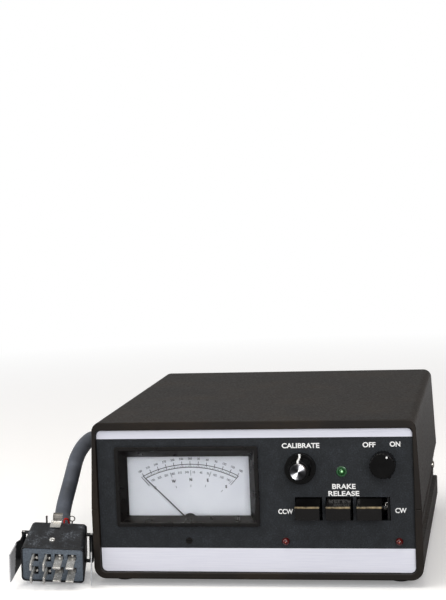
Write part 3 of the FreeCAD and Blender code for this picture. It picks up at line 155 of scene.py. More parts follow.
plug = {
    "face": (-135.6, -116.9, 14.5), "yaw": 6.5, "pitch": 16.5, "roll": 4.3,
    "tall": 13.0, "flange": (-5.5, 1.6, 25.6, 33.2), "tab": (-4.6, 1.9), "tabTop": 17.6, "tabLean": 2.0,
    "tabThick": 0.8,
    "lug": (-9.6, -8.4, 36.0, 16.6), "loopAt": (8.3, 35.6, 13.2), "loopRadius": 1.9,
    "wireRadius": 0.65, "columns": (-12.75, -4.25, 4.25, 12.75), "rows": (-4.9, 4.9),
    "wellFloor": 2.6, "eyeletRadius": 1.0, "eyeletShifts": ((2.0, -0.9), (0.2, 2.0)),  # upright, flat blades
    "wirePath": [(3.2, 33.6, 11.5), (3.0, 34.2, 14.0), (3.6, 34.8, 15.3), (4.8, 35.6, 14.9),
                 (5.6, 36.6, 13.4), (5.9, 37.4, 9.5), (5.7, 38.0, 6.2)],
    "rivet": [(0, -0.6), (0.9, -0.6), (0.95, 0.5), (1.2, 0.85), (1.7, 0.85), (2.0, 0.5), (2.05, 0.0),
              (2.0, -0.4), (0, -0.7)],
    "copies": [  # CAD piece, finish, slot, broken edge, body
        ("plug_shell", "plugPaint", "plug_paint", 0.3, "controller"),
        ("plug_insulator", "phenolic", "plug_plastic", 0.15, "controller"),
        ("plug_blades", "silvered", "blade_metal", 0.35, "controller"),
        ("plug_clamp", "clamp", "clamp_steel", 0.2, "controller"),
        ("plug_latch_left", "latch", "clamp_steel", 0.15, "left_latch"),
        ("plug_latch_right", "latch", "clamp_steel", 0.15, "right_latch")],
    "topScrew": (-1.5, 10.4), "clampScrewX": 8.5, "clampScrewY": 37.5, "clampScrewScale": (0.59, 0.59, 0.56),
    "loopWire": 0.4, "postWire": 0.5, "postFoot": 0.8,  # radii, and where the post starts
}
plugTurn = (Matrix.Translation(Vector(plug["face"]) / 1000)
            @ Matrix.Rotation(math.radians(plug["yaw"]), 4, "Z")
            @ Matrix.Rotation(math.radians(plug["pitch"]), 4, "X")
            @ Matrix.Rotation(math.radians(plug["roll"]), 4, "Y"))


# Materials, each named for what the real one is

def grained(name, grainMm, dark, light, depthMm, bump=0.4, detail=3.0, lightAt=0.7, gloss=None,
            drawn=None, **surface):
    # colour, gloss and relief that all follow one noise; drawn is its scale along each axis
    made, tree, shader, place = startMaterial(name, **surface)
    if drawn:
        place = addNode(tree, "ShaderNodeMapping", {"Scale": drawn}, {"Vector": place}).outputs["Vector"]
    grains = mottle(tree, place, grainMm, detail)
    feed(tree, shader, ramp(tree, grains, (0.3, dark), (lightAt, light)))
    if gloss:
        feed(tree, shader, spread(tree, grains, *gloss, 0.3, 0.7), "Roughness")
    relief(tree, shader, grains, depthMm, bump)
    return made


def texturedEnamel():
    # steel with a baked near-black texture enamel: fine leathery grain, warm satin sheen
    made, tree, shader, place = startMaterial("texturedEnamel", Roughness=0.5, Specular_IOR_Level=0.28)
    broad = mottle(tree, place, 34.0, 2.0)
    fine = mottle(tree, place, 1.5, 4.0, 0.7)
    both = maths(tree, "MULTIPLY_ADD", fine, 0.55, broad)
    feed(tree, shader, ramp(tree, both, (0.45, "0f0b08"), (0.8, "17110b"), (1.05, "20180f")))
    feed(tree, shader, spread(tree, fine, 0.40, 0.62, 0.3, 0.7), "Roughness")
    cells = addNode(tree, "ShaderNodeTexVoronoi", {"feature": "SMOOTH_F1", "Scale": 1000 / 1.1},
                    {"Vector": place}).outputs["Distance"]  # 1.1 mm pebbles, a little coarser than life
    relief(tree, shader, cells, 0.10, 0.5, relief(tree, shader, fine, 0.05, 0.5))
    return made


def panelLacquer():
    # aluminium sheet with a blue-charcoal baked lacquer: fine speckle, low sheen
    made, tree, shader, place = startMaterial("panelLacquer", Roughness=0.55, Specular_IOR_Level=0.25)
    fine = mottle(tree, place, 0.9, 3.0, 0.7)
    both = maths(tree, "MULTIPLY_ADD", mottle(tree, place, 7.0, 2.0), 0.35, fine)
    feed(tree, shader, ramp(tree, both, (0.42, "16181b"), (0.68, "202326"), (0.92, "30343a")))
    relief(tree, shader, fine, 0.03, 0.5)
    return made


def silverFoil():
    # satin silver foil on the panel: pale lavender grey, faint sideways brushing
    return grained("silverFoil", 0.7, "dcdde8", "e4e5ee", 0.004, 0.2, gloss=(0.4, 0.46),
                   drawn=(0.03, 1.0, 1.0), Metallic=0.12, Roughness=0.42)


def mouldedAbs(name, dark, light, roughness, grainMm=2.5, depthMm=0.02, shine=0.25):
    # moulded plastic: nearly smooth, with slight flow marks and a soft broken sheen
    return grained(name, grainMm, dark, light, depthMm, lightAt=0.72,
                   gloss=(roughness - 0.06, roughness + 0.07), Roughness=roughness, Specular_IOR_Level=shine)


def handledAbs(ridgeYMm, ridgeZMm):
    # black moulded ABS; a pale tan line along most of its front ridge, patchy along its length, is a painted
    # highlight
    made, tree, shader, place = startMaterial("paddleAbs", Roughness=0.22, Specular_IOR_Level=0.4)
    sides = addNode(tree, "ShaderNodeSeparateXYZ", links={0: place}).outputs
    flow = mottle(tree, place, 8.0, 2.0)
    off = [maths(tree, "ABSOLUTE", maths(tree, "SUBTRACT", sides[side], middle / 1000))
           for side, middle in (("Y", ridgeYMm), ("Z", ridgeZMm))]
    paintedRidgeHighlight = maths(tree, "MULTIPLY", spread(tree, maths(tree, "MAXIMUM", *off), 1.0, 0.0, 0.0004, 0.0007),
                   spread(tree, mottle(tree, place, 4.5, 2.0), 0.15, 0.9, 0.35, 0.65))
    # painted highlight: pale tan where the ridge line runs, patchy along it
    feed(tree, shader, mixed(tree, paintedRidgeHighlight, ramp(tree, flow, (0.3, "060505"), (0.72, "0b0a09")),
                             flat(tree, "9c8a66")))
    feed(tree, shader, spread(tree, paintedRidgeHighlight, 0.2, 0.45), "Roughness")
    relief(tree, shader, flow, 0.006, 0.4)
    return made


def plugLacquer():
    # black crackle lacquer on pressed steel; its high grains are painted pale grey, partly as worn paint and
    # partly as a painted sparkle of glints
    made, tree, shader, place = startMaterial("plugLacquer", Roughness=0.36, Specular_IOR_Level=0.45)
    grains = mottle(tree, place, 0.9, 4.0, 0.8)
    both = maths(tree, "MULTIPLY_ADD", mottle(tree, place, 9.0, 2.0), 0.5, grains)
    # painted highlight in part: the pale grey stops stand in for glints on the grains as well as wear
    feed(tree, shader, ramp(tree, both, (0.6, "0c0d10"), (0.8, "15171b"), (0.88, "3d4249"), (0.98, "8d939b")))
    feed(tree, shader, spread(tree, grains, 0.25, 0.55, 0.35, 0.65), "Roughness")
    relief(tree, shader, grains, 0.08, 0.6)
    return made


def plugPhenolic():
    # grey-blue moulded phenolic, speckled with filler; the sunk wells beside the blades get painted shade,
    # near black from about 1 to 1.6 mm behind the face
    made, tree, shader, place = startMaterial("plugPhenolic", Roughness=0.5, Specular_IOR_Level=0.35)
    grains = mottle(tree, place, 1.0, 3.0)
    face, inward = [value / 1000 for value in plug["face"]], plugTurn.to_3x3() @ Vector((0, 1, 0))
    apart = addNode(tree, "ShaderNodeVectorMath", {"operation": "SUBTRACT", 1: face}, {0: place})
    deep = addNode(tree, "ShaderNodeVectorMath", {"operation": "DOT_PRODUCT", 1: inward},
                   {0: apart.outputs[0]}).outputs["Value"]
    # painted shade: colour goes to near black 101214 with depth behind the face
    feed(tree, shader, mixed(tree, spread(tree, deep, 0.0, 1.0, 0.001, 0.0016),
                             ramp(tree, grains, (0.3, "535c66"), (0.72, "747e88")), flat(tree, "101214")))
    relief(tree, shader, grains, 0.04, 0.4)
    return made


def clearAcrylic():
    # cast acrylic sheet: clear, glossy
    made, tree, shader, place = startMaterial("clearAcrylic", Roughness=0.03, IOR=1.49,
                                              Transmission_Weight=1.0, Base_Color=linearColour("fafcff"))
    relief(tree, shader, mottle(tree, place, 40.0, 1.0), 0.02, 0.15)
    return made


def printedCard():
    # white enamelled dial card: even and matt
    made, tree, shader, place = startMaterial("printedCard", Roughness=0.7, IOR=1.45)
    feed(tree, shader, ramp(tree, mottle(tree, place, 22.0, 2.0), (0.35, "f6f6f8"), (0.7, "fcfcfd")))
    relief(tree, shader, mottle(tree, place, 0.5), 0.01, 0.2)
    return made


def ink(name, colour, roughness=0.5):
    # screen-printed ink: flat with slightly uneven cover
    made, tree, shader, place = startMaterial(name, Roughness=roughness)
    value = [int(colour[at:at + 2], 16) for at in (0, 2, 4)]
    thin = "".join(f"{min(255, round(v * 0.9 + 8)):02x}" for v in value)
    feed(tree, shader, ramp(tree, mottle(tree, place, 0.6, 2.0), (0.3, thin), (0.6, colour)))
    return made


def bareMetal(name, dark, light, roughness, grainMm=1.2, drawn=None, depthMm=0.01, metallic=1.0):
    # bare or plated metal with fine rolling or turning marks
    return grained(name, grainMm, dark, light, depthMm, detail=4.0, gloss=(roughness - 0.07, roughness + 0.1),
                   drawn=drawn, Metallic=metallic, Roughness=roughness)


def turnedFace(centreMm, brightAt):
    # lathe-turned aluminium face; the bow-tie highlight of its fine rings is a painted highlight, bright at
    # one angle round the centre and opposite it, dark between
    made, tree, shader, place = startMaterial("turnedFaceAluminium", Metallic=1.0, Roughness=0.32)
    centred = addNode(tree, "ShaderNodeMapping", {"Location": [-value / 1000 for value in centreMm]},
                      {"Vector": place}).outputs["Vector"]
    sides = addNode(tree, "ShaderNodeSeparateXYZ", links={0: centred}).outputs
    twice = maths(tree, "MULTIPLY_ADD", maths(tree, "ARCTAN2", sides["Z"], sides["X"]), 2.0,
                  -2 * math.radians(brightAt))
    # painted highlight: base colour from dark grey to near white by twice the angle round the centre
    feed(tree, shader, ramp(tree, spread(tree, maths(tree, "COSINE", twice), 0.0, 1.0, -1.0, 1.0),
                            (0.0, "2b2b2d"), (0.55, "4b4b4e"), (0.8, "a4a4a8"), (1.0, "f6f6f8")))
    relief(tree, shader, mottle(tree, place, 0.4), 0.006, 0.3)
    return made


def neopreneFeet():
    # vulcanised rubber: matt, dusty, slightly pitted
    return grained("neopreneFeet", 0.8, "141414", "222121", 0.04, 0.6, 4.0, Roughness=0.75,
                   Specular_IOR_Level=0.3)


def litEpoxy(name, body, glow, strength, centresMm, reachMm):
    # tinted epoxy lens of a lamp, its lit chip glowing through the middle
    made, tree, shader, place = startMaterial(name, Roughness=0.1, IOR=1.55, Base_Color=linearColour(body),
                                              Emission_Color=linearColour(glow))
    away = [addNode(tree, "ShaderNodeVectorMath",
                    {"operation": "DISTANCE", 1: [value / 1000 for value in centre]},
                    {0: place}).outputs["Value"] for centre in centresMm]
    nearest = maths(tree, "MINIMUM", away[0], away[-1])
    feed(tree, shader, spread(tree, nearest, strength, 0.0, 0.0, reachMm / 1000), "Emission Strength")
    relief(tree, shader, mottle(tree, place, 1.5), 0.01, 0.2)
    return made


def latchSteel():
    # spring steel plate, black lacquered, worn to bright metal towards its free end
    made, tree, shader, place = startMaterial("latchSteel", Roughness=0.35, Specular_IOR_Level=0.3)
    along = addNode(tree, "ShaderNodeSeparateXYZ", links={0: place}).outputs["Y"]
    patchy = maths(tree, "MULTIPLY_ADD", mottle(tree, place, 2.5), 0.008, along)
    bare = spread(tree, patchy, 1.0, 0.0, -0.1155, -0.1140)
    marks = mottle(tree, place, 0.8)
    feed(tree, shader, mixed(tree, bare, ramp(tree, marks, (0.3, "151619"), (0.7, "202226")),
                             ramp(tree, marks, (0.3, "c4c6c9"), (0.7, "e8eaec"))))
    feed(tree, shader, spread(tree, bare, 0.0, 0.35), "Metallic")
    relief(tree, shader, marks, 0.02, 0.4)
    return made


# Camera, lead, floor and light

camera = {
    "place": (0.16124, -1.09276, 0.27659), "yaw": -10.181, "pitch": 5.122, "roll": -2.334,
    "focalPixels": 1561.47, "frameHeight": 600,
}


def placeCamera():
    yaw, pitch, roll = (math.radians(camera[name]) for name in ("yaw", "pitch", "roll"))
    ahead = Vector((math.sin(yaw) * math.cos(pitch), math.cos(yaw) * math.cos(pitch), -math.sin(pitch)))
    level = Vector((math.cos(yaw), -math.sin(yaw), 0))
    above = level.cross(ahead)
    right = level * math.cos(roll) + above * math.sin(roll)
    top = above * math.cos(roll) - level * math.sin(roll)
    made = placed("photoCamera", bpy.data.cameras.new("photoCamera"))
    made.data.lens = made.data.sensor_width * camera["focalPixels"] / camera["frameHeight"]
    made.data.clip_start, made.data.clip_end = 0.05, 50
    made.matrix_world = (Matrix.Translation(camera["place"])
                         @ Matrix((right, top, -ahead)).transposed().to_4x4())
    bpy.context.scene.camera = made


lead = {
    "diameter": 0.011, "length": 0.488,
    "route": [  # from the gland, round behind the case, up beside it and down into the plug
        (-0.0270, 0.1265, 0.0360), (-0.0270, 0.1530, 0.0360), (-0.0355, 0.1845, 0.0320),
        (-0.0589, 0.2082, 0.0220), (-0.0908, 0.2170, 0.0120), (-0.1227, 0.2090, 0.0072),
        (-0.1460, 0.1855, 0.0070), (-0.1545, 0.1535, 0.0140), (-0.1550, 0.1220, 0.0350),
        (-0.1540, 0.0880, 0.0580), (-0.1497, 0.0520, 0.0708), (-0.1522, 0.0160, 0.0649),
        (-0.1491, -0.0160, 0.0509), (-0.1485, -0.0455, 0.0332), (-0.14092, -0.07022, 0.02842),
        (-0.13918, -0.08546, 0.02387)],
}


def vinylJacket():
    # blue-grey PVC cable jacket: semi-matt, faintly pebbled, a little dusty
    made, tree, shader, place = startMaterial("vinylJacket", Roughness=0.42, Specular_IOR_Level=0.4)
    broad = mottle(tree, place, 18.0, 2.0)
    fine = mottle(tree, place, 1.1, 3.0)
    both = maths(tree, "MULTIPLY_ADD", fine, 0.4, broad)
    feed(tree, shader, ramp(tree, both, (0.45, "3c4047"), (0.72, "4a4f58"), (0.95, "5b606b")))
    feed(tree, shader, spread(tree, fine, 0.36, 0.55, 0.3, 0.7), "Roughness")
    relief(tree, shader, fine, 0.05, 0.5)
    return made


def makeLead():
    shape = bpy.data.curves.new("controlLead", "CURVE")
    shape.dimensions = "3D"
    shape.resolution_u, shape.bevel_resolution = 16, 8
    shape.bevel_depth = lead["diameter"] / 2
    shape.use_fill_caps = True
    line = shape.splines.new("NURBS")
    line.points.add(len(lead["route"]) - 1)
    for point, spot in zip(line.points, lead["route"]):
        point.co = (*spot, 1.0)
    line.order_u = 3
    line.use_endpoint_u = True
    made = placed("controlLead", shape)
    shape.materials.append(vinylJacket())
    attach(made, "controller")
    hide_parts("control_cable")
    return made


stage = {"reach": 9.0, "floorColour": "f3f3f3", "bounceColour": "a2a2a4", "lift": 0.22,
         "whiteFrom": 0.45, "whiteTo": 1.3}


def makeStage():
    sheet = bmesh.new()
    bmesh.ops.create_circle(sheet, cap_ends=True, segments=96, radius=stage["reach"])
    mesh = bpy.data.meshes.new("floor")
    sheet.to_mesh(mesh)
    sheet.free()
    floor = placed("floor", mesh)
    made, tree, shader, place = startMaterial("paleFloor", Roughness=0.8, Specular_IOR_Level=0.2)
    seen = addNode(tree, "ShaderNodeLightPath").outputs["Is Camera Ray"]
    # the object gets less light back than the floor shows
    feed(tree, shader, ramp(tree, seen, (0.0, stage["bounceColour"]), (1.0, stage["floorColour"])))
    shader.inputs["Emission Color"].default_value = (1, 1, 1, 1)
    feed(tree, shader, spread(tree, seen, 0.0, stage["lift"]), "Emission Strength")
    white = addNode(tree, "ShaderNodeEmission", {"Color": (1, 1, 1, 1), "Strength": 1.0})
    away = addNode(tree, "ShaderNodeVectorMath", {"operation": "LENGTH"}, {0: place}).outputs["Value"]
    fade = spread(tree, away, 0.0, 1.0, stage["whiteFrom"], stage["whiteTo"])
    blend = addNode(tree, "ShaderNodeMixShader", links={0: fade, 1: shader.outputs[0], 2: white.outputs[0]})
    tree.links.new(blend.outputs[0], tree.nodes["Material Output"].inputs["Surface"])
    mesh.materials.append(made)


light = {
    "worldStrength": 0.5,
    "worldColours": [(0.0, "f4f6fa"), (0.55, "d6d5d3"), (1.0, "8a6440")],  # left to right
    "lamps": [  # name, place, aims at, width, height, watts, colour
        ("softboxOver", (-0.3, -0.5, 1.5), (0, 0, 0.05), 1.3, 1.0, 14.0, "fffaf2"),
        ("softboxFront", (0.7, -1.7, 0.75), (0, 0, 0.05), 1.1, 0.9, 21.0, "fbfcff"),
        ("softboxLeft", (-1.4, -0.5, 0.6), (-0.05, 0, 0.05), 0.8, 0.8, 7.0, "ffffff")],
}


def makeLight():
    world = bpy.data.worlds.new("studio")
    world.use_nodes = True
    bpy.context.scene.world = world
    tree = world.node_tree
    back = tree.nodes["Background"]
    way = addNode(tree, "ShaderNodeTexCoord").outputs["Generated"]
    across = addNode(tree, "ShaderNodeSeparateXYZ", links={0: way}).outputs["X"]
    tree.links.new(ramp(tree, spread(tree, across, 0.0, 1.0, -1.0, 1.0), *light["worldColours"]),
                   back.inputs["Color"])
    back.inputs["Strength"].default_value = light["worldStrength"]
    seen = addNode(tree, "ShaderNodeBackground", {"Color": (1, 1, 1, 1), "Strength": 1.0})
    path = addNode(tree, "ShaderNodeLightPath")
    either = maths(tree, "MAXIMUM", path.outputs["Is Camera Ray"], path.outputs["Is Transmission Ray"])
    mix = addNode(tree, "ShaderNodeMixShader", links={0: either, 1: back.outputs[0], 2: seen.outputs[0]})
    tree.links.new(mix.outputs[0], tree.nodes["World Output"].inputs["Surface"])
    for name, spot, target, wide, tall, watts, colour in light["lamps"]:
        lamp = bpy.data.lights.new(name, "AREA")
        lamp.shape, lamp.size, lamp.size_y = "RECTANGLE", wide, tall
        lamp.energy, lamp.color = watts, linearColour(colour)[:3]
        aim = (Vector(target) - Vector(spot)).to_track_quat("-Z", "Y")
        placed(name, lamp).matrix_world = Matrix.Translation(spot) @ aim.to_matrix().to_4x4()


bpy.context.scene.view_settings.view_transform = "Standard"
placeCamera()
controlLead = makeLead()
makeStage()
makeLight()
print("camera, lead, floor and light made")


# Finishes of the CAD pieces

finishes = {  # name: (material, CAD pieces that wear it)
    "enamel": (texturedEnamel(), ["top_cover", "bottom_shell"]),
    "lacquer": (panelLacquer(), ["front_panel", "rear_panel"]),
    "foil": (silverFoil(), ["top_trim", "bottom_trim"]),
    "bezel": (mouldedAbs("bezelAbs", "0b0a0a", "12100f", 0.3, 9.0, 0.006),
              ["meter_bezel", "meter_pivot_cover", "zero_screw"]),
    "housing": (mouldedAbs("housingPhenolic", "151412", "22201d", 0.45), ["meter_housing"]),
    "acrylic": (clearAcrylic(), ["meter_lens"]),
    "card": (printedCard(), ["meter_dial"]),
    "needle": (ink("needleLacquer", "16161a", 0.4), ["meter_needle"]),
    "knob": (mouldedAbs("knobPhenolic", "030303", "060606", 0.2, 6.0, 0.006, 0.16),
             ["calibrate_knob", "power_knob"]),
    # the cap's turned aluminium, with a painted bow-tie highlight
    "turned": (turnedFace((31.3, 0, 78.0), 52.0), ["calibrate_knob_cap"]),
    "steel": (bareMetal("turnedSteel", "85868a", "b5b6ba", 0.3, 0.6),
              ["calibrate_spindle", "power_spindle", "paddle_axle"]),
    "nickel": (bareMetal("nickelPlate", "a7a49c", "cfccc4", 0.25, 0.8),
               ["foot_screws", "chassis_screws", "panel_nuts", "inlet_screws", "plug_screws"]),
    "blackScrew": (bareMetal("blackOxideSteel", "1d1d1e", "2e2e30", 0.4, 0.8), ["case_screws"]),
    "zinc": (bareMetal("zincPlate", "8f9296", "b9bcbf", 0.42, 3.5, depthMm=0.02),
             ["calibrate_control", "power_control", "meter_movement", "transformer_strap",
              "capacitor_clip"]),
    "frame": (mouldedAbs("frameLacquer", "0a0a0a", "121212", 0.5), ["paddle_frame"]),
    # paddles with a painted highlight along their ridge
    "paddle": (handledAbs(-121.1, 53.9), ["ccw_paddle", "brake_paddle", "cw_paddle"]),
    "nylon": (mouldedAbs("blackNylon", "131313", "1e1e1e", 0.5, 1.5, 0.03),
              ["snap_switches", "fuse_holder", "fuse_cap", "mains_inlet", "led_holders", "cable_gland"]),
    "greenLamp": (litEpoxy("greenLampEpoxy", "0f4a1b", "b4f5ae", 1.7, [(57.9, -114.6, 75.9)], 0.9),
                  ["power_led"]),
    "redLamp": (litEpoxy("redLampEpoxy", "4a0605", "ff9a84", 1.0, [(20, -114.5, 29.8), (93, -114.5, 29.8)],
                         0.5), ["direction_leds"]),
    "rubber": (neopreneFeet(), ["rubber_feet"]),
    "core": (bareMetal("laminatedSteel", "3c3b3a", "6d6a66", 0.5, 0.5, (0.05, 1.0, 0.05), 0.05),
             ["transformer_core"]),
    "tape": (ink("polyesterTape", "b8932f", 0.35), ["transformer_coil"]),
    "can": (bareMetal("drawnAluminium", "a9abae", "c9cbce", 0.35, 1.0), ["motor_capacitor"]),
    "board": (ink("solderMask", "1f5a38", 0.35), ["circuit_board"]),
    "brass": (bareMetal("turnedBrass", "a98545", "d0ab63", 0.3, 0.6), ["board_standoffs", "inlet_pins"]),
    "boardParts": (mouldedAbs("boardPlastic", "151515", "242424", 0.4), ["board_parts"]),
    "fuse": (bareMetal("fuseCaps", "b5b2aa", "d8d5cd", 0.25), ["fuse"]),
    "plugPaint": (plugLacquer(), ["plug_shell"]),
    "phenolic": (plugPhenolic(), ["plug_insulator"]),
    "silvered": (bareMetal("silveredBrass", "c6c4be", "f0efeb", 0.22, 5.0, metallic=0.7, depthMm=0.004),
                 ["plug_blades", "latch_pins"]),
    "clamp": (bareMetal("clampSteel", "6f6b66", "928e88", 0.28, 4.0, metallic=0.7, depthMm=0.004),
              ["plug_clamp"]),
    "latch": (latchSteel(), ["plug_latch_left", "plug_latch_right"]),
    "whiteInk": (ink("whiteInk", "f4f4f2", 0.45), []),
    "dialInk": (ink("dialInk", "131419", 0.5), []),
    "greyInk": (ink("greyInk", "50525a", 0.5), []),
    "lampGreen": (mouldedAbs("lampGreenAcrylic", "12391c", "1f6132", 0.15, shine=0.8), []),
    "redWire": (mouldedAbs("redWireVinyl", "8c1512", "b3221c", 0.35), []),
}


def dressNodes():
    for material, names in finishes.values():
        for name in names:
            holder = nodes[name]
            for at in range(max(1, len(holder.material_slots))):
                holder.material_slots[at].link = "OBJECT"
                holder.material_slots[at].material = material
    print("CAD pieces finished")


dressNodes()


# Shapes: rounded copies, repeats, print

def addPiece(name, mesh, material, body, replaced=(), smoothTo=35):
    mesh.materials.clear()
    mesh.materials.append(material)
    made = placed(name, mesh)
    if smoothTo:
        mesh.shade_smooth()
        mesh.set_sharp_from_angle(angle=math.radians(smoothTo))
        made.modifiers.new("evenNormals", "WEIGHTED_NORMAL").keep_sharp = True
    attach(made, body)
    if replaced:
        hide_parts(*replaced)
    return made


def roundedCopy(node, material, edgeMm, body="controller", chosen=None, segments=2):
    # the CAD piece again with its sharp edges broken, so that they catch the light
    shape = bmesh.new()
    shape.from_mesh(nodes[node].data)
    bmesh.ops.remove_doubles(shape, verts=shape.verts, dist=2e-6)
    bmesh.ops.dissolve_limit(shape, angle_limit=math.radians(0.5), verts=shape.verts, edges=shape.edges)
    sharp = [edge for edge in shape.edges
             if len(edge.link_faces) == 2 and edge.calc_face_angle(0) > math.radians(28)
             and (chosen is None or chosen(edge.verts[0].co, edge.verts[1].co))]
    bmesh.ops.bevel(shape, geom=sharp, offset=edgeMm / 1000, segments=segments, profile=0.5,
                    affect="EDGES", clamp_overlap=False)
    mesh = bpy.data.meshes.new(node)
    shape.to_mesh(mesh)
    shape.free()
    words = node.split("_")
    name = words[0] + "".join(word.capitalize() for word in words[1:])
    return addPiece(name, mesh, material, body, [node])


def onPlanes(axis, *levels):
    return lambda a, b: any(abs(a[axis] - level) < 2e-5 and abs(b[axis] - level) < 2e-5 for level in levels)


def lathe(outline, steps=32):
    # outline of (radius, height), turned about Z; the ends on the axis are closed
    shape = bmesh.new()
    verts = [shape.verts.new((radius, 0, height)) for radius, height in outline]
    edges = [shape.edges.new(pair) for pair in zip(verts, verts[1:])]
    bmesh.ops.spin(shape, geom=verts + edges, axis=(0, 0, 1), cent=(0, 0, 0), steps=steps,
                   angle=math.tau)
    bmesh.ops.remove_doubles(shape, verts=shape.verts, dist=1e-7)
    bmesh.ops.recalc_face_normals(shape, faces=shape.faces)
    return shape


def meshOf(shape, name):
    mesh = bpy.data.meshes.new(name)
    shape.to_mesh(mesh)
    shape.free()
    return mesh


def repeatTree():
    # stands a copy of the chosen piece on each point, its Z along the point's axis
    tree = bpy.data.node_groups.new("pieceOnEachPoint", "GeometryNodeTree")
    for label, way, kind in (("Points", "INPUT", "Geometry"), ("Piece", "INPUT", "Object"),
                             ("Turn Spread", "INPUT", "Float"), ("Seed", "INPUT", "Int"),
                             ("Finish", "INPUT", "Material"), ("Pieces", "OUTPUT", "Geometry")):
        tree.interface.new_socket(label, in_out=way, socket_type="NodeSocket" + kind)
    given = addNode(tree, "NodeGroupInput").outputs
    axis, size = (addNode(tree, "GeometryNodeInputNamedAttribute",
                          {"data_type": "FLOAT_VECTOR", "Name": name}) for name in ("axis", "size"))
    aim = addNode(tree, "FunctionNodeAlignRotationToVector", {"axis": "Z"}, {"Vector": axis.outputs[0]})
    chance = addNode(tree, "FunctionNodeRandomValue", {"data_type": "FLOAT", 2: 0.0},
                     {3: given["Turn Spread"], "Seed": given["Seed"]})
    spin = addNode(tree, "ShaderNodeCombineXYZ", links={"Z": chance.outputs[1]})
    spun = addNode(tree, "FunctionNodeEulerToRotation", links={0: spin.outputs[0]})
    turned = addNode(tree, "FunctionNodeRotateRotation", {"rotation_space": "LOCAL"},
                     {0: aim.outputs[0], 1: spun.outputs[0]})
    source = addNode(tree, "GeometryNodeObjectInfo", links={0: given["Piece"]})
    stood = addNode(tree, "GeometryNodeInstanceOnPoints",
                    links={"Points": given["Points"], "Instance": source.outputs["Geometry"],
                           "Rotation": turned.outputs[0], "Scale": size.outputs[0]})
    solid = addNode(tree, "GeometryNodeRealizeInstances", links={0: stood.outputs[0]})
    dressed = addNode(tree, "GeometryNodeSetMaterial",
                      links={0: solid.outputs[0], "Material": given["Finish"]})
    addNode(tree, "NodeGroupOutput", links={0: dressed.outputs[0]})
    return tree


repeats = repeatTree()


def repeatPiece(name, piece, places, material, turnSpread=0.0, seed=3):
    # places as (point, axis, size); gives one plain mesh
    points = bpy.data.meshes.new(name)
    points.from_pydata([spot for spot, axis, size in places], [], [])
    for label, column in (("axis", 1), ("size", 2)):
        stored = points.attributes.new(label, "FLOAT_VECTOR", "POINT")
        for at, place in enumerate(places):
            stored.data[at].vector = place[column]
    source, holder = placed(name + "Piece", piece), placed(name + "Points", points)
    modifier = holder.modifiers.new("repeat", "NODES")
    modifier.node_group = repeats
    values = {"Piece": source, "Turn Spread": turnSpread, "Seed": seed, "Finish": material}
    for item in repeats.interface.items_tree:
        if item.in_out == "INPUT" and item.name in values:
            modifier[item.identifier] = values[item.name]
    seen = holder.evaluated_get(bpy.context.evaluated_depsgraph_get())
    mesh = bpy.data.meshes.new_from_object(seen)
    mesh.name = name
    holder.modifiers.remove(modifier)
    for thing in (source, holder):
        bpy.data.objects.remove(thing)
    for label in ("axis", "size"):
        if label in mesh.attributes:
            mesh.attributes.remove(mesh.attributes[label])
    return mesh


def printWords(words, centre, capHeight, width, turn=0.0, bold=0.028):
    # lettering as flat mesh that faces the front; sizes in millimetres, centre as (x, y, z)
    shape = bpy.data.curves.new(words, "FONT")
    shape.body, shape.size, shape.offset = words, 1.0, bold
    mesh = plainMesh(shape)
    low = Vector([min(v.co[side] for v in mesh.vertices) for side in range(3)])
    high = Vector([max(v.co[side] for v in mesh.vertices) for side in range(3)])
    middle, span = (low + high) / 2, high - low
    across = width / span.x if width else capHeight / span.y * 0.9
    steps = (Matrix.Translation(Vector(centre) / 1000) @ Matrix.Rotation(turn, 4, "Y")
             @ Matrix.Rotation(math.pi / 2, 4, "X")
             @ Matrix.Diagonal((across / 1000, capHeight / span.y / 1000, 0.001, 1))
             @ Matrix.Translation(-middle))
    mesh.transform(steps)
    return mesh


def skin(shape, rows, closed=True):
    # faces between rows of points; closed goes round each row and caps both ends
    count = len(rows[0])
    for before, after in zip(rows, rows[1:]):
        for at in range(count if closed else count - 1):
            other = (at + 1) % count
            shape.faces.new((before[at], before[other], after[other], after[at]))
    if closed:
        shape.faces.new(rows[0])
        shape.faces.new(rows[-1])
    bmesh.ops.recalc_face_normals(shape, faces=shape.faces)


def joined(meshes, name):
    shape = bmesh.new()
    for mesh in meshes:
        shape.from_mesh(mesh)
    return meshOf(shape, name)


def bar(size, at=(0, 0, 0)):
    # a small rectangular bar as a mesh, sizes in millimetres
    shape = bmesh.new()
    bmesh.ops.create_cube(shape, size=0.001)
    bmesh.ops.scale(shape, vec=size, verts=shape.verts)
    bmesh.ops.translate(shape, vec=Vector(at) / 1000, verts=shape.verts)
    return meshOf(shape, "bar")


# Case

case = {"front": -0.1145, "rear": 0.1145, "side": 0.104, "parting": 0.0510, "edge": 0.55, "footEdge": 0.8}


def makeCase():
    enamel = finishes["enamel"][0]
    onRims = onPlanes(1, case["front"], case["rear"])
    onSeam = onPlanes(2, case["parting"])
    for node in ("top_cover", "bottom_shell"):
        roundedCopy(node, enamel, case["edge"],
                    chosen=lambda a, b: onRims(a, b) or (onSeam(a, b) and abs(a.x) > case["side"]))
    roundedCopy("rubber_feet", finishes["rubber"][0], case["footEdge"],
                chosen=onPlanes(2, 0.0))
    print("case rounded")


makeCase()

screws = {
    "radius": 2.9, "height": 1.8, "shank": 1.5, "recess": 3.4, "recessWidth": 0.75, "recessDepth": 1.2,
    "bodyX": 94.0, "bodyY": 78.5, "bodySeat": 35.0, "bodyLength": 37.0,
    "sideX": 105.1, "sideY": 92.5, "sideZ": 38.6, "sideLength": 5.8,
    "footX": 92.0, "footY": 92.5, "footSeat": 2.5, "footLength": 9.0,
    "inletX": 62.0, "inletPitch": 20.0, "inletZ": 40.0, "inletLength": 6.0,
}


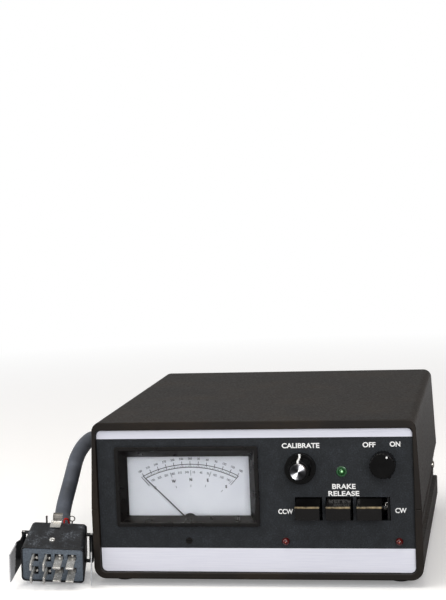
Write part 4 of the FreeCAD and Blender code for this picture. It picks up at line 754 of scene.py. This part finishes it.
def screwHead():
    radius, height = screws["radius"] / 1000, screws["height"] / 1000
    outline = [(0, 0), (radius, 0), (radius, height * 0.45), (radius * 0.93, height * 0.72),
               (radius * 0.72, height * 0.93), (radius * 0.4, height), (0, height)]
    head = placed("screwHead", meshOf(lathe(outline, 28), "screwHead"))
    wide, thick, deep = screws["recess"], screws["recessWidth"], screws["recessDepth"]
    cross = joined([bar((wide, thick, deep), (0, 0, screws["height"])),
                    bar((thick, wide, deep), (0, 0, screws["height"]))], "cross")
    cutter = placed("cross", cross)
    hollow = head.modifiers.new("recess", "BOOLEAN")
    hollow.object, hollow.operation, hollow.solver, hollow.use_self = cutter, "DIFFERENCE", "EXACT", True
    mesh = bpy.data.meshes.new_from_object(head.evaluated_get(bpy.context.evaluated_depsgraph_get()))
    for thing in (head, cutter):
        bpy.data.objects.remove(thing)
    return mesh


def makeScrews():
    s = {name: value / 1000 for name, value in screws.items()}
    both = (-1, 1)
    heads = [((s["bodyX"] * a, s["bodyY"] * b, s["bodySeat"]), (0, 0, -1), s["bodyLength"])
             for a in both for b in both]
    heads += [((s["footX"] * a, s["footY"] * b, s["footSeat"]), (0, 0, -1), s["footLength"])
              for a in both for b in both]
    heads += [((s["sideX"] * a, s["sideY"], s["sideZ"]), (a, 0, 0), s["sideLength"]) for a in both]
    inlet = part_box("inlet_screws")[1][1] - s["height"]
    heads += [((s["inletX"] + s["inletPitch"] * a, inlet, s["inletZ"]), (0, 1, 0), s["inletLength"])
              for a in both]
    nickel = finishes["nickel"][0]
    tops = repeatPiece("screwTops", screwHead(), [(p, axis, (1, 1, 1)) for p, axis, _ in heads], nickel,
                       turnSpread=math.tau, seed=11)
    shank = meshOf(lathe([(0, 0), (s["shank"], 0), (s["shank"], 0.001), (0, 0.001)], 16), "shank")
    backs = [(p, [-value for value in axis], (1, 1, length * 1000)) for p, axis, length in heads]
    stems = repeatPiece("screwStems", shank, backs, nickel)
    addPiece("caseScrews", joined([tops, stems], "caseScrews"), nickel, "controller",
             ["case_screws", "foot_screws", "inlet_screws"], smoothTo=40)
    print("screws placed", len(heads))


makeScrews()


# Front panel

panel = {
    "face": -111.53, "capHeight": 3.3, "ringSeat": -0.1115, "trimFace": -0.1119, "trimEdge": 0.12,
    "words": [  # words, middle x, middle z, width in mm
        ("CALIBRATE", 31.6, 92.3, 24.3), ("OFF", 75.5, 92.5, 8.3), ("ON", 92.0, 92.8, 6.7),
        ("BRAKE", 58.6, 65.6, 15.0), ("RELEASE", 58.4, 61.0, 19.9),
        ("CCW", 20.4, 49.3, 9.6), ("CW", 94.5, 49.9, 7.2)],
    "redLamps": [(20.0, 29.8), (93.0, 29.8)], "lampRing": (2.42, 2.7, 0.45),
    "powerLamp": (57.5, 75.4), "powerRing": (2.42, 3.5, 0.9),
}


def makePanel():
    words = [printWords(text, (x, panel["face"], z), panel["capHeight"], width)
             for text, x, z, width in panel["words"]]
    addPiece("panelLegend", joined(words, "panelLegend"), finishes["whiteInk"][0], "controller",
             smoothTo=None)
    rings = (("redLampRings", "lampRing", panel["redLamps"], "nylon", "fitting_plastic"),
             ("powerLampRing", "powerRing", [panel["powerLamp"]], "lampGreen", "led_green"))
    for name, size, places, finish, slot in rings:
        inner, outer, proud = (value / 1000 for value in panel[size])
        ring = meshOf(lathe([(inner, 0), (outer, 0), (outer, proud * 0.55),
                             (outer - proud * 0.15, proud * 0.85), (outer - proud * 0.4, proud),
                             (inner, proud), (inner, 0)], 40), "ring")
        spots = [((x / 1000, panel["ringSeat"], z / 1000), (0, -1, 0), (1, 1, 1)) for x, z in places]
        material = finishes[finish][0]
        addPiece(name, repeatPiece(name, ring, spots, material), material, "controller")
    for node in ("top_trim", "bottom_trim"):
        roundedCopy(node, finishes["foil"][0], panel["trimEdge"],
                    chosen=onPlanes(1, panel["trimFace"]))
    print("panel lettered")


makePanel()


# Meter

meter = {
    "centre": (-43.0, 11.0), "printFace": -102.04, "pivot": (-43.8, 40.5),
    "outerRadius": 67.8, "innerRadius": 65.8, "halfSweep": 27.6, "arcWidth": 0.46, "arcSteps": 60,
    "marks": 13, "markRange": (65.8, 69.8), "minorMarks": 61, "minorRange": (65.8, 67.0),
    "outerNumbers": [180, 210, 240, 270, 300, 330, 360, 30, 60, 90, 120, 150, 180],
    "outerNumberRadius": 71.6, "outerSweep": 28.1, "numberHeight": 1.5,
    "innerNumbers": [195, 225, 255, 285, 315, 345, 15, 45, 75, 105, 135, 165],
    "innerNumberRadius": 62.6, "innerSweep": 23.8,
    "letters": [("S", -67.0, 63.2), ("W", -54.4, 67.5), ("N", -42.9, 68.6), ("E", -31.6, 68.1),
                ("S", -19.5, 63.8)], "letterHeight": 2.1,
    "dashes": [(2.6, 6.2), (-5.0, -3.4)],  # reach from each letter's middle, away from the pivot
    "endLines": [(-16.5, 64.9, -10.9, 70.9), (-70.9, 64.4, -76.0, 70.4)],
    "lineWide": 0.16, "lineSunk": 0.05, "bezelEdge": 0.3,
}


def onDial(radius, degrees):
    x, z = meter["centre"]
    turn = math.radians(degrees)
    return x + radius * math.sin(turn), z + radius * math.cos(turn)


def dialArc(radius):
    # a thin printed arc as one flat band
    shape = bmesh.new()
    half, sweep, steps = meter["arcWidth"] / 2, meter["halfSweep"], meter["arcSteps"]
    rows = []
    for step in range(steps + 1):
        degrees = -sweep + 2 * sweep * step / steps
        rows.append([shape.verts.new((x / 1000, meter["printFace"] / 1000, z / 1000))
                     for x, z in (onDial(radius - half, degrees), onDial(radius + half, degrees))])
    for (a, b), (c, d) in zip(rows, rows[1:]):
        shape.faces.new((a, c, d, b))
    return meshOf(shape, "arc")


def makeDialPrint():
    inkMaterial = finishes["dialInk"][0]
    face, sweep = meter["printFace"], meter["halfSweep"]
    mark = bar((meter["lineWide"], meter["lineWide"], 1.0), (0, 0, 0.5))
    places = []

    def addLine(x0, z0, x1, z1, width):
        long = math.hypot(x1 - x0, z1 - z0)
        places.append(((x0 / 1000, (face + meter["lineSunk"]) / 1000, z0 / 1000),
                       ((x1 - x0) / long, 0, (z1 - z0) / long), (width, width, long)))

    for count, (low, high), width in ((meter["marks"], meter["markRange"], 2.0),
                                      (meter["minorMarks"], meter["minorRange"], 1.1)):
        for step in range(count):
            degrees = -sweep + 2 * sweep * step / (count - 1)
            addLine(*onDial(low, degrees), *onDial(high, degrees), width)
    pivotX, pivotZ = meter["pivot"]
    for letter, x, z in meter["letters"]:
        long = math.hypot(x - pivotX, z - pivotZ)
        awayX, awayZ = (x - pivotX) / long, (z - pivotZ) / long
        for start, end in meter["dashes"]:
            addLine(x + awayX * start, z + awayZ * start, x + awayX * end, z + awayZ * end, 1.6)
    for line in meter["endLines"]:
        addLine(*line, 2.2)
    printed = [repeatPiece("dialMarks", mark, places, inkMaterial),
               dialArc(meter["outerRadius"]), dialArc(meter["innerRadius"])]
    figures = []
    for numbers, radius, sweep in (
            (meter["outerNumbers"], meter["outerNumberRadius"], meter["outerSweep"]),
            (meter["innerNumbers"], meter["innerNumberRadius"], meter["innerSweep"])):
        for step, number in enumerate(numbers):
            degrees = -sweep + 2 * sweep * step / (len(numbers) - 1)
            x, z = onDial(radius, degrees)
            figures.append(printWords(str(number), (x, face, z), meter["numberHeight"], None,
                                      math.radians(degrees), 0.02))
    for letter, x, z in meter["letters"]:
        printed.append(printWords(letter, (x, face, z), meter["letterHeight"], None, 0, 0.05))
    addPiece("dialPrint", joined(printed, "dialPrint"), inkMaterial, "controller",
             smoothTo=None)
    addPiece("dialFigures", joined(figures, "dialFigures"), finishes["greyInk"][0], "controller",
             smoothTo=None)
    roundedCopy("meter_bezel", finishes["bezel"][0], meter["bezelEdge"])
    print("dial printed")


makeDialPrint()


# Knobs

knobs = {
    "calibrate": (31.3, 78.0), "skirtFace": -116.5, "skirtRadius": 10.0, "bodyFoot": 7.4, "bodyTop": 6.8,
    "bodyFace": -126.0, "capRadius": 5.4, "capFace": -126.5, "capSeat": -125.3, "capRings": 15,
    "capGroove": 0.05, "pointerWidth": 1.35, "pointerThick": 0.12, "edge": 0.25,
    "power": (84.3, 80.6), "powerFace": -122.0, "dotAt": (6.2, 62.0), "dotRadius": 0.65,
}


def turnedToFront(shape, x, y, z):
    # from an axis along Z to one that points out of the panel, at a place in millimetres
    bmesh.ops.rotate(shape, verts=shape.verts, cent=(0, 0, 0), matrix=Matrix.Rotation(math.pi / 2, 3, "X"))
    bmesh.ops.translate(shape, verts=shape.verts, vec=Vector((x, y, z)) / 1000)
    return shape


def spunCap():
    # turned face with fine ring grooves; its bow-tie highlight is painted into its material
    x, z = knobs["calibrate"]
    outer, rings = knobs["capRadius"], knobs["capRings"]
    high, low = -knobs["capFace"], -knobs["capSeat"]
    edge = outer - 0.55
    outline = [(0, high)]
    for ring in range(rings):
        inner = edge * ring / rings
        step = edge / rings
        outline += [(inner + step * 0.5, high - knobs["capGroove"]), (inner + step, high)]
    outline += [(outer - 0.1, high - 0.45), (outer, high - 0.6), (outer, low), (0, low)]
    shape = lathe([(radius / 1000, height / 1000) for radius, height in outline], 72)
    return meshOf(turnedToFront(shape, x, 0, z), "spunCap")


def pointerLine():
    # white inlay that runs from the skirt's rim up the body to the cap
    x, z = knobs["calibrate"]
    skirt, body, foot, top = (knobs[name] for name in ("skirtFace", "bodyFace", "bodyFoot", "bodyTop"))
    way = [(knobs["skirtRadius"] - 0.3, skirt), (foot + 0.05, skirt), (foot + 0.02, skirt - 0.1),
           (top + 0.03, body + 0.2), (top - 0.1, body), (knobs["capRadius"] + 0.1, body)]
    half, thick = knobs["pointerWidth"] / 2, knobs["pointerThick"]
    shape = bmesh.new()
    rows = []
    for at, (radius, depth) in enumerate(way):
        before, after = way[max(at - 1, 0)], way[min(at + 1, len(way) - 1)]
        run, climb = after[0] - before[0], after[1] - before[1]
        long = math.hypot(run, climb)
        out = (-climb / long, run / long) if run <= 0 else (climb / long, -run / long)
        lifts = ((radius, depth), (radius + out[0] * thick, depth + out[1] * thick))
        (r0, y0), (r1, y1) = lifts
        rows.append([shape.verts.new(((x + side * half) / 1000, y / 1000, (z + r) / 1000))
                     for side, r, y in ((-1, r0, y0), (-0.85, r1, y1), (0.85, r1, y1), (1, r0, y0))])
    skin(shape, rows)
    return meshOf(shape, "pointerLine")


def makeKnobs():
    black, white = finishes["knob"][0], finishes["whiteInk"][0]
    roundedCopy("calibrate_knob", black, knobs["edge"], "calibrate_control_knob")
    roundedCopy("power_knob", black, knobs["edge"], "power_switch_knob")
    addPiece("calibrateCap", spunCap(), finishes["turned"][0], "calibrate_control_knob",
             ["calibrate_knob_cap"], smoothTo=8)
    addPiece("calibratePointer", pointerLine(), white, "calibrate_control_knob")
    x, z = knobs["power"]
    reach, degrees = knobs["dotAt"]
    radius = knobs["dotRadius"] / 1000
    dot = lathe([(0, 0.00018), (radius * 0.7, 0.00014), (radius, 0.00003), (radius, -0.0002),
                 (0, -0.0002)], 24)
    turn = math.radians(degrees)
    turnedToFront(dot, x + reach * math.cos(turn), knobs["powerFace"], z + reach * math.sin(turn))
    addPiece("powerDot", meshOf(dot, "powerDot"), white, "power_switch_knob")
    print("knobs turned")


makeKnobs()


# Lever paddles

paddles = {"edge": 0.45, "springX": (83.95, 85.5), "springCentre": (-102.5, 50.0), "springRadius": 2.4,
           "wire": 0.32, "turns": 3, "armTop": (-108.6, 53.4), "loopRadius": 0.9}


def tube(path, radius, name, sides=10):
    # a round tube along plain points
    shape = bpy.data.curves.new(name, "CURVE")
    shape.dimensions = "3D"
    shape.bevel_depth, shape.bevel_resolution, shape.use_fill_caps = radius, sides // 4, True
    line = shape.splines.new("POLY")
    line.points.add(len(path) - 1)
    for point, spot in zip(line.points, path):
        point.co = (*spot, 1.0)
    return plainMesh(shape)


def returnSpring():
    # torsion spring round the axle, its end looped at the slot's right-hand side
    start, end = paddles["springX"]
    y0, z0 = paddles["springCentre"]
    path = []
    steps = paddles["turns"] * 24
    for step in range(steps + 1):
        turn = math.tau * paddles["turns"] * step / steps + math.pi
        path.append((start + (end - start) * step / steps, y0 + paddles["springRadius"] * math.cos(turn),
                     z0 + paddles["springRadius"] * math.sin(turn)))
    armY, armZ = paddles["armTop"]
    path.append((end, armY + 0.6, armZ - 2.6))
    for step in range(15):
        turn = -math.pi / 2 + math.tau * 0.9 * step / 14
        path.append((end - 0.2 + paddles["loopRadius"] * math.cos(turn), armY,
                     armZ + paddles["loopRadius"] * math.sin(turn)))
    return tube([Vector(spot) / 1000 for spot in path], paddles["wire"] / 1000, "returnSpring")


def makePaddles():
    for node, body in (("ccw_paddle", "left_turn_paddle"), ("brake_paddle", "brake_release_paddle"),
                       ("cw_paddle", "right_turn_paddle")):
        roundedCopy(node, finishes["paddle"][0], paddles["edge"], body, segments=3)
    addPiece("returnSpring", returnSpring(), finishes["nickel"][0], "controller")
    print("paddles made")


makePaddles()


# Plug

def bentStrip(profile, low, high, thick, name):
    # sheet strip that follows a profile of (y, z) between two x places, in millimetres
    shape = bmesh.new()
    rows = [[shape.verts.new((x / 1000, y / 1000, z / 1000)) for x in (low, high)] for y, z in profile]
    skin(shape, rows, closed=False)
    bmesh.ops.solidify(shape, geom=shape.faces[:], thickness=thick / 1000)
    bmesh.ops.bevel(shape, geom=[e for e in shape.edges if e.calc_face_angle(0) > 0.9],
                    offset=thick / 5000, segments=2, profile=0.5, affect="EDGES")
    return meshOf(shape, name)


def makePlugScrews():
    # the hollow rivet on the shell and the two screws of the clamp
    rivet = meshOf(lathe([(radius / 1000, height / 1000) for radius, height in plug["rivet"]], 32), "rivet")
    head = screwHead()
    head.transform(Matrix.Diagonal((*plug["clampScrewScale"], 1)))
    shank = meshOf(lathe([(0, 0), (0.001, 0), (0.001, 0.002), (0, 0.002)], 16), "shank")
    x, y = plug["topScrew"]
    rivet.transform(Matrix.Translation((x / 1000, y / 1000, plug["tall"] / 1000)))
    made = [rivet]
    for side in (-1, 1):
        spot = Vector((side * plug["clampScrewX"], plug["clampScrewY"], 0)) / 1000
        for piece, rise in ((head, 0.001), (shank, -0.001)):
            copied = piece.copy()
            copied.transform(Matrix.Translation(spot + Vector((0, 0, rise))))
            made.append(copied)
    whole = joined(made, "plugScrews")
    whole.transform(plugTurn)
    return addPiece("plugScrews", whole, finishes["silvered"][0], "controller",
                    ["plug_screws"], smoothTo=40)


def makeEyelets():
    # solder eyelets on the floor of the blades' wells
    radius = plug["eyeletRadius"] / 1000
    eyelet = meshOf(lathe([(0, 0), (radius, 0), (radius, 0.0007), (radius * 0.6, 0.0012), (0, 0.0013)], 20),
                    "eyelet")
    away = plugTurn.to_3x3() @ Vector((0, -1, 0))
    places = []
    for column, x in enumerate(plug["columns"]):
        shift = plug["eyeletShifts"][column // 2]
        for z in plug["rows"]:
            spot = plugTurn @ (Vector((x + shift[0], plug["wellFloor"], z + shift[1])) / 1000)
            places.append((spot, away, (1, 1, 1)))
    mesh = repeatPiece("plugEyelets", eyelet, places, finishes["silvered"][0])
    return addPiece("plugEyelets", mesh, finishes["silvered"][0], "controller")


def makePlug():
    for node, finish, slot, edge, body in plug["copies"]:
        roundedCopy(node, finishes[finish][0], edge, body)
    low, high, near, far = plug["flange"]
    top, thick = plug["tall"], plug["tabThick"]
    flange = bentStrip([(near, top + 0.4), (far - 0.4, top + 0.4), (far, top + 0.8), (far + 0.2, top + 1.4)],
                       low, high, thick, "flange")
    left, right = plug["tab"]
    tab = bentStrip([(far - 0.2, top + 0.5), (far + 0.3, top + 1.2), (far + plug["tabLean"], plug["tabTop"]),
                     (far + plug["tabLean"] + 0.5, plug["tabTop"] + 0.3),
                     (far + plug["tabLean"] + 3.0, plug["tabTop"] + 0.3)], left, right, thick, "tab")
    left, right, back, lugTop = plug["lug"]
    lug = bentStrip([(back + 3, 0.4), (back + 0.6, 0.4), (back, 1.0), (back, lugTop)], left, right, thick,
                    "lug")
    x, y, z = plug["loopAt"]
    loop = tube([((x + plug["loopRadius"] * math.cos(math.tau * step / 20)) / 1000, y / 1000,
                  (z + 2.0 + plug["loopRadius"] * math.sin(math.tau * step / 20)) / 1000)
                 for step in range(21)], plug["loopWire"] / 1000, "loop")
    post = tube([(x / 1000, y / 1000, rise / 1000) for rise in (plug["postFoot"], z)],
                plug["postWire"] / 1000, "post")
    metal = joined([tab, lug, loop, post], "plugTabs")
    for sheet in (metal, flange):
        sheet.transform(plugTurn)
    made = [addPiece("plugTabs", metal, finishes["clamp"][0], "controller"),
            addPiece("plugFlange", flange, finishes["silvered"][0], "controller"),
            makePlugScrews(), makeEyelets()]
    wire = tube([Vector(spot) / 1000 for spot in plug["wirePath"]], plug["wireRadius"] / 1000, "wire")
    wire.transform(plugTurn)
    red = addPiece("plugWire", wire, finishes["redWire"][0], "controller")
    print("plug made")
    return made + [red]


plugPieces = makePlug()


# Strain relief on the gland

relieving = {"from": 0.0, "to": 0.026, "radii": (0.0071, 0.0062), "ribs": 7, "ribDepth": 0.0004}


def makeStrainRelief():
    bare = controlLead.data.copy()
    bare.bevel_depth = 0.0
    bare.materials.clear()
    spots = [vert.co.copy() for vert in plainMesh(bare).vertices]
    if (spots[0] - Vector(lead["route"][0])).length > 0.001:
        spots.reverse()
    shape = bmesh.new()
    rows, gone, sides, steps = [], 0.0, 28, 56
    for step in range(steps + 1):
        want = relieving["from"] + (relieving["to"] - relieving["from"]) * step / steps
        while gone + (spots[1] - spots[0]).length < want and len(spots) > 2:
            gone += (spots[1] - spots[0]).length
            spots.pop(0)
        ahead = (spots[1] - spots[0]).normalized()
        middle = spots[0] + ahead * (want - gone)
        share = step / steps
        wave = math.cos(math.tau * relieving["ribs"] * share) * relieving["ribDepth"]
        radius = relieving["radii"][0] * (1 - share) + relieving["radii"][1] * share + wave * (share < 0.97)
        turn = ahead.to_track_quat("Z", "Y").to_matrix()
        rows.append([shape.verts.new(middle + turn @ Vector((radius * math.cos(math.tau * side / sides),
                                                             radius * math.sin(math.tau * side / sides), 0)))
                     for side in range(sides)])
    skin(shape, rows)
    addPiece("strainRelief", meshOf(shape, "strainRelief"), finishes["nylon"][0], "controller",
             smoothTo=50)
    print("strain relief made")


makeStrainRelief()
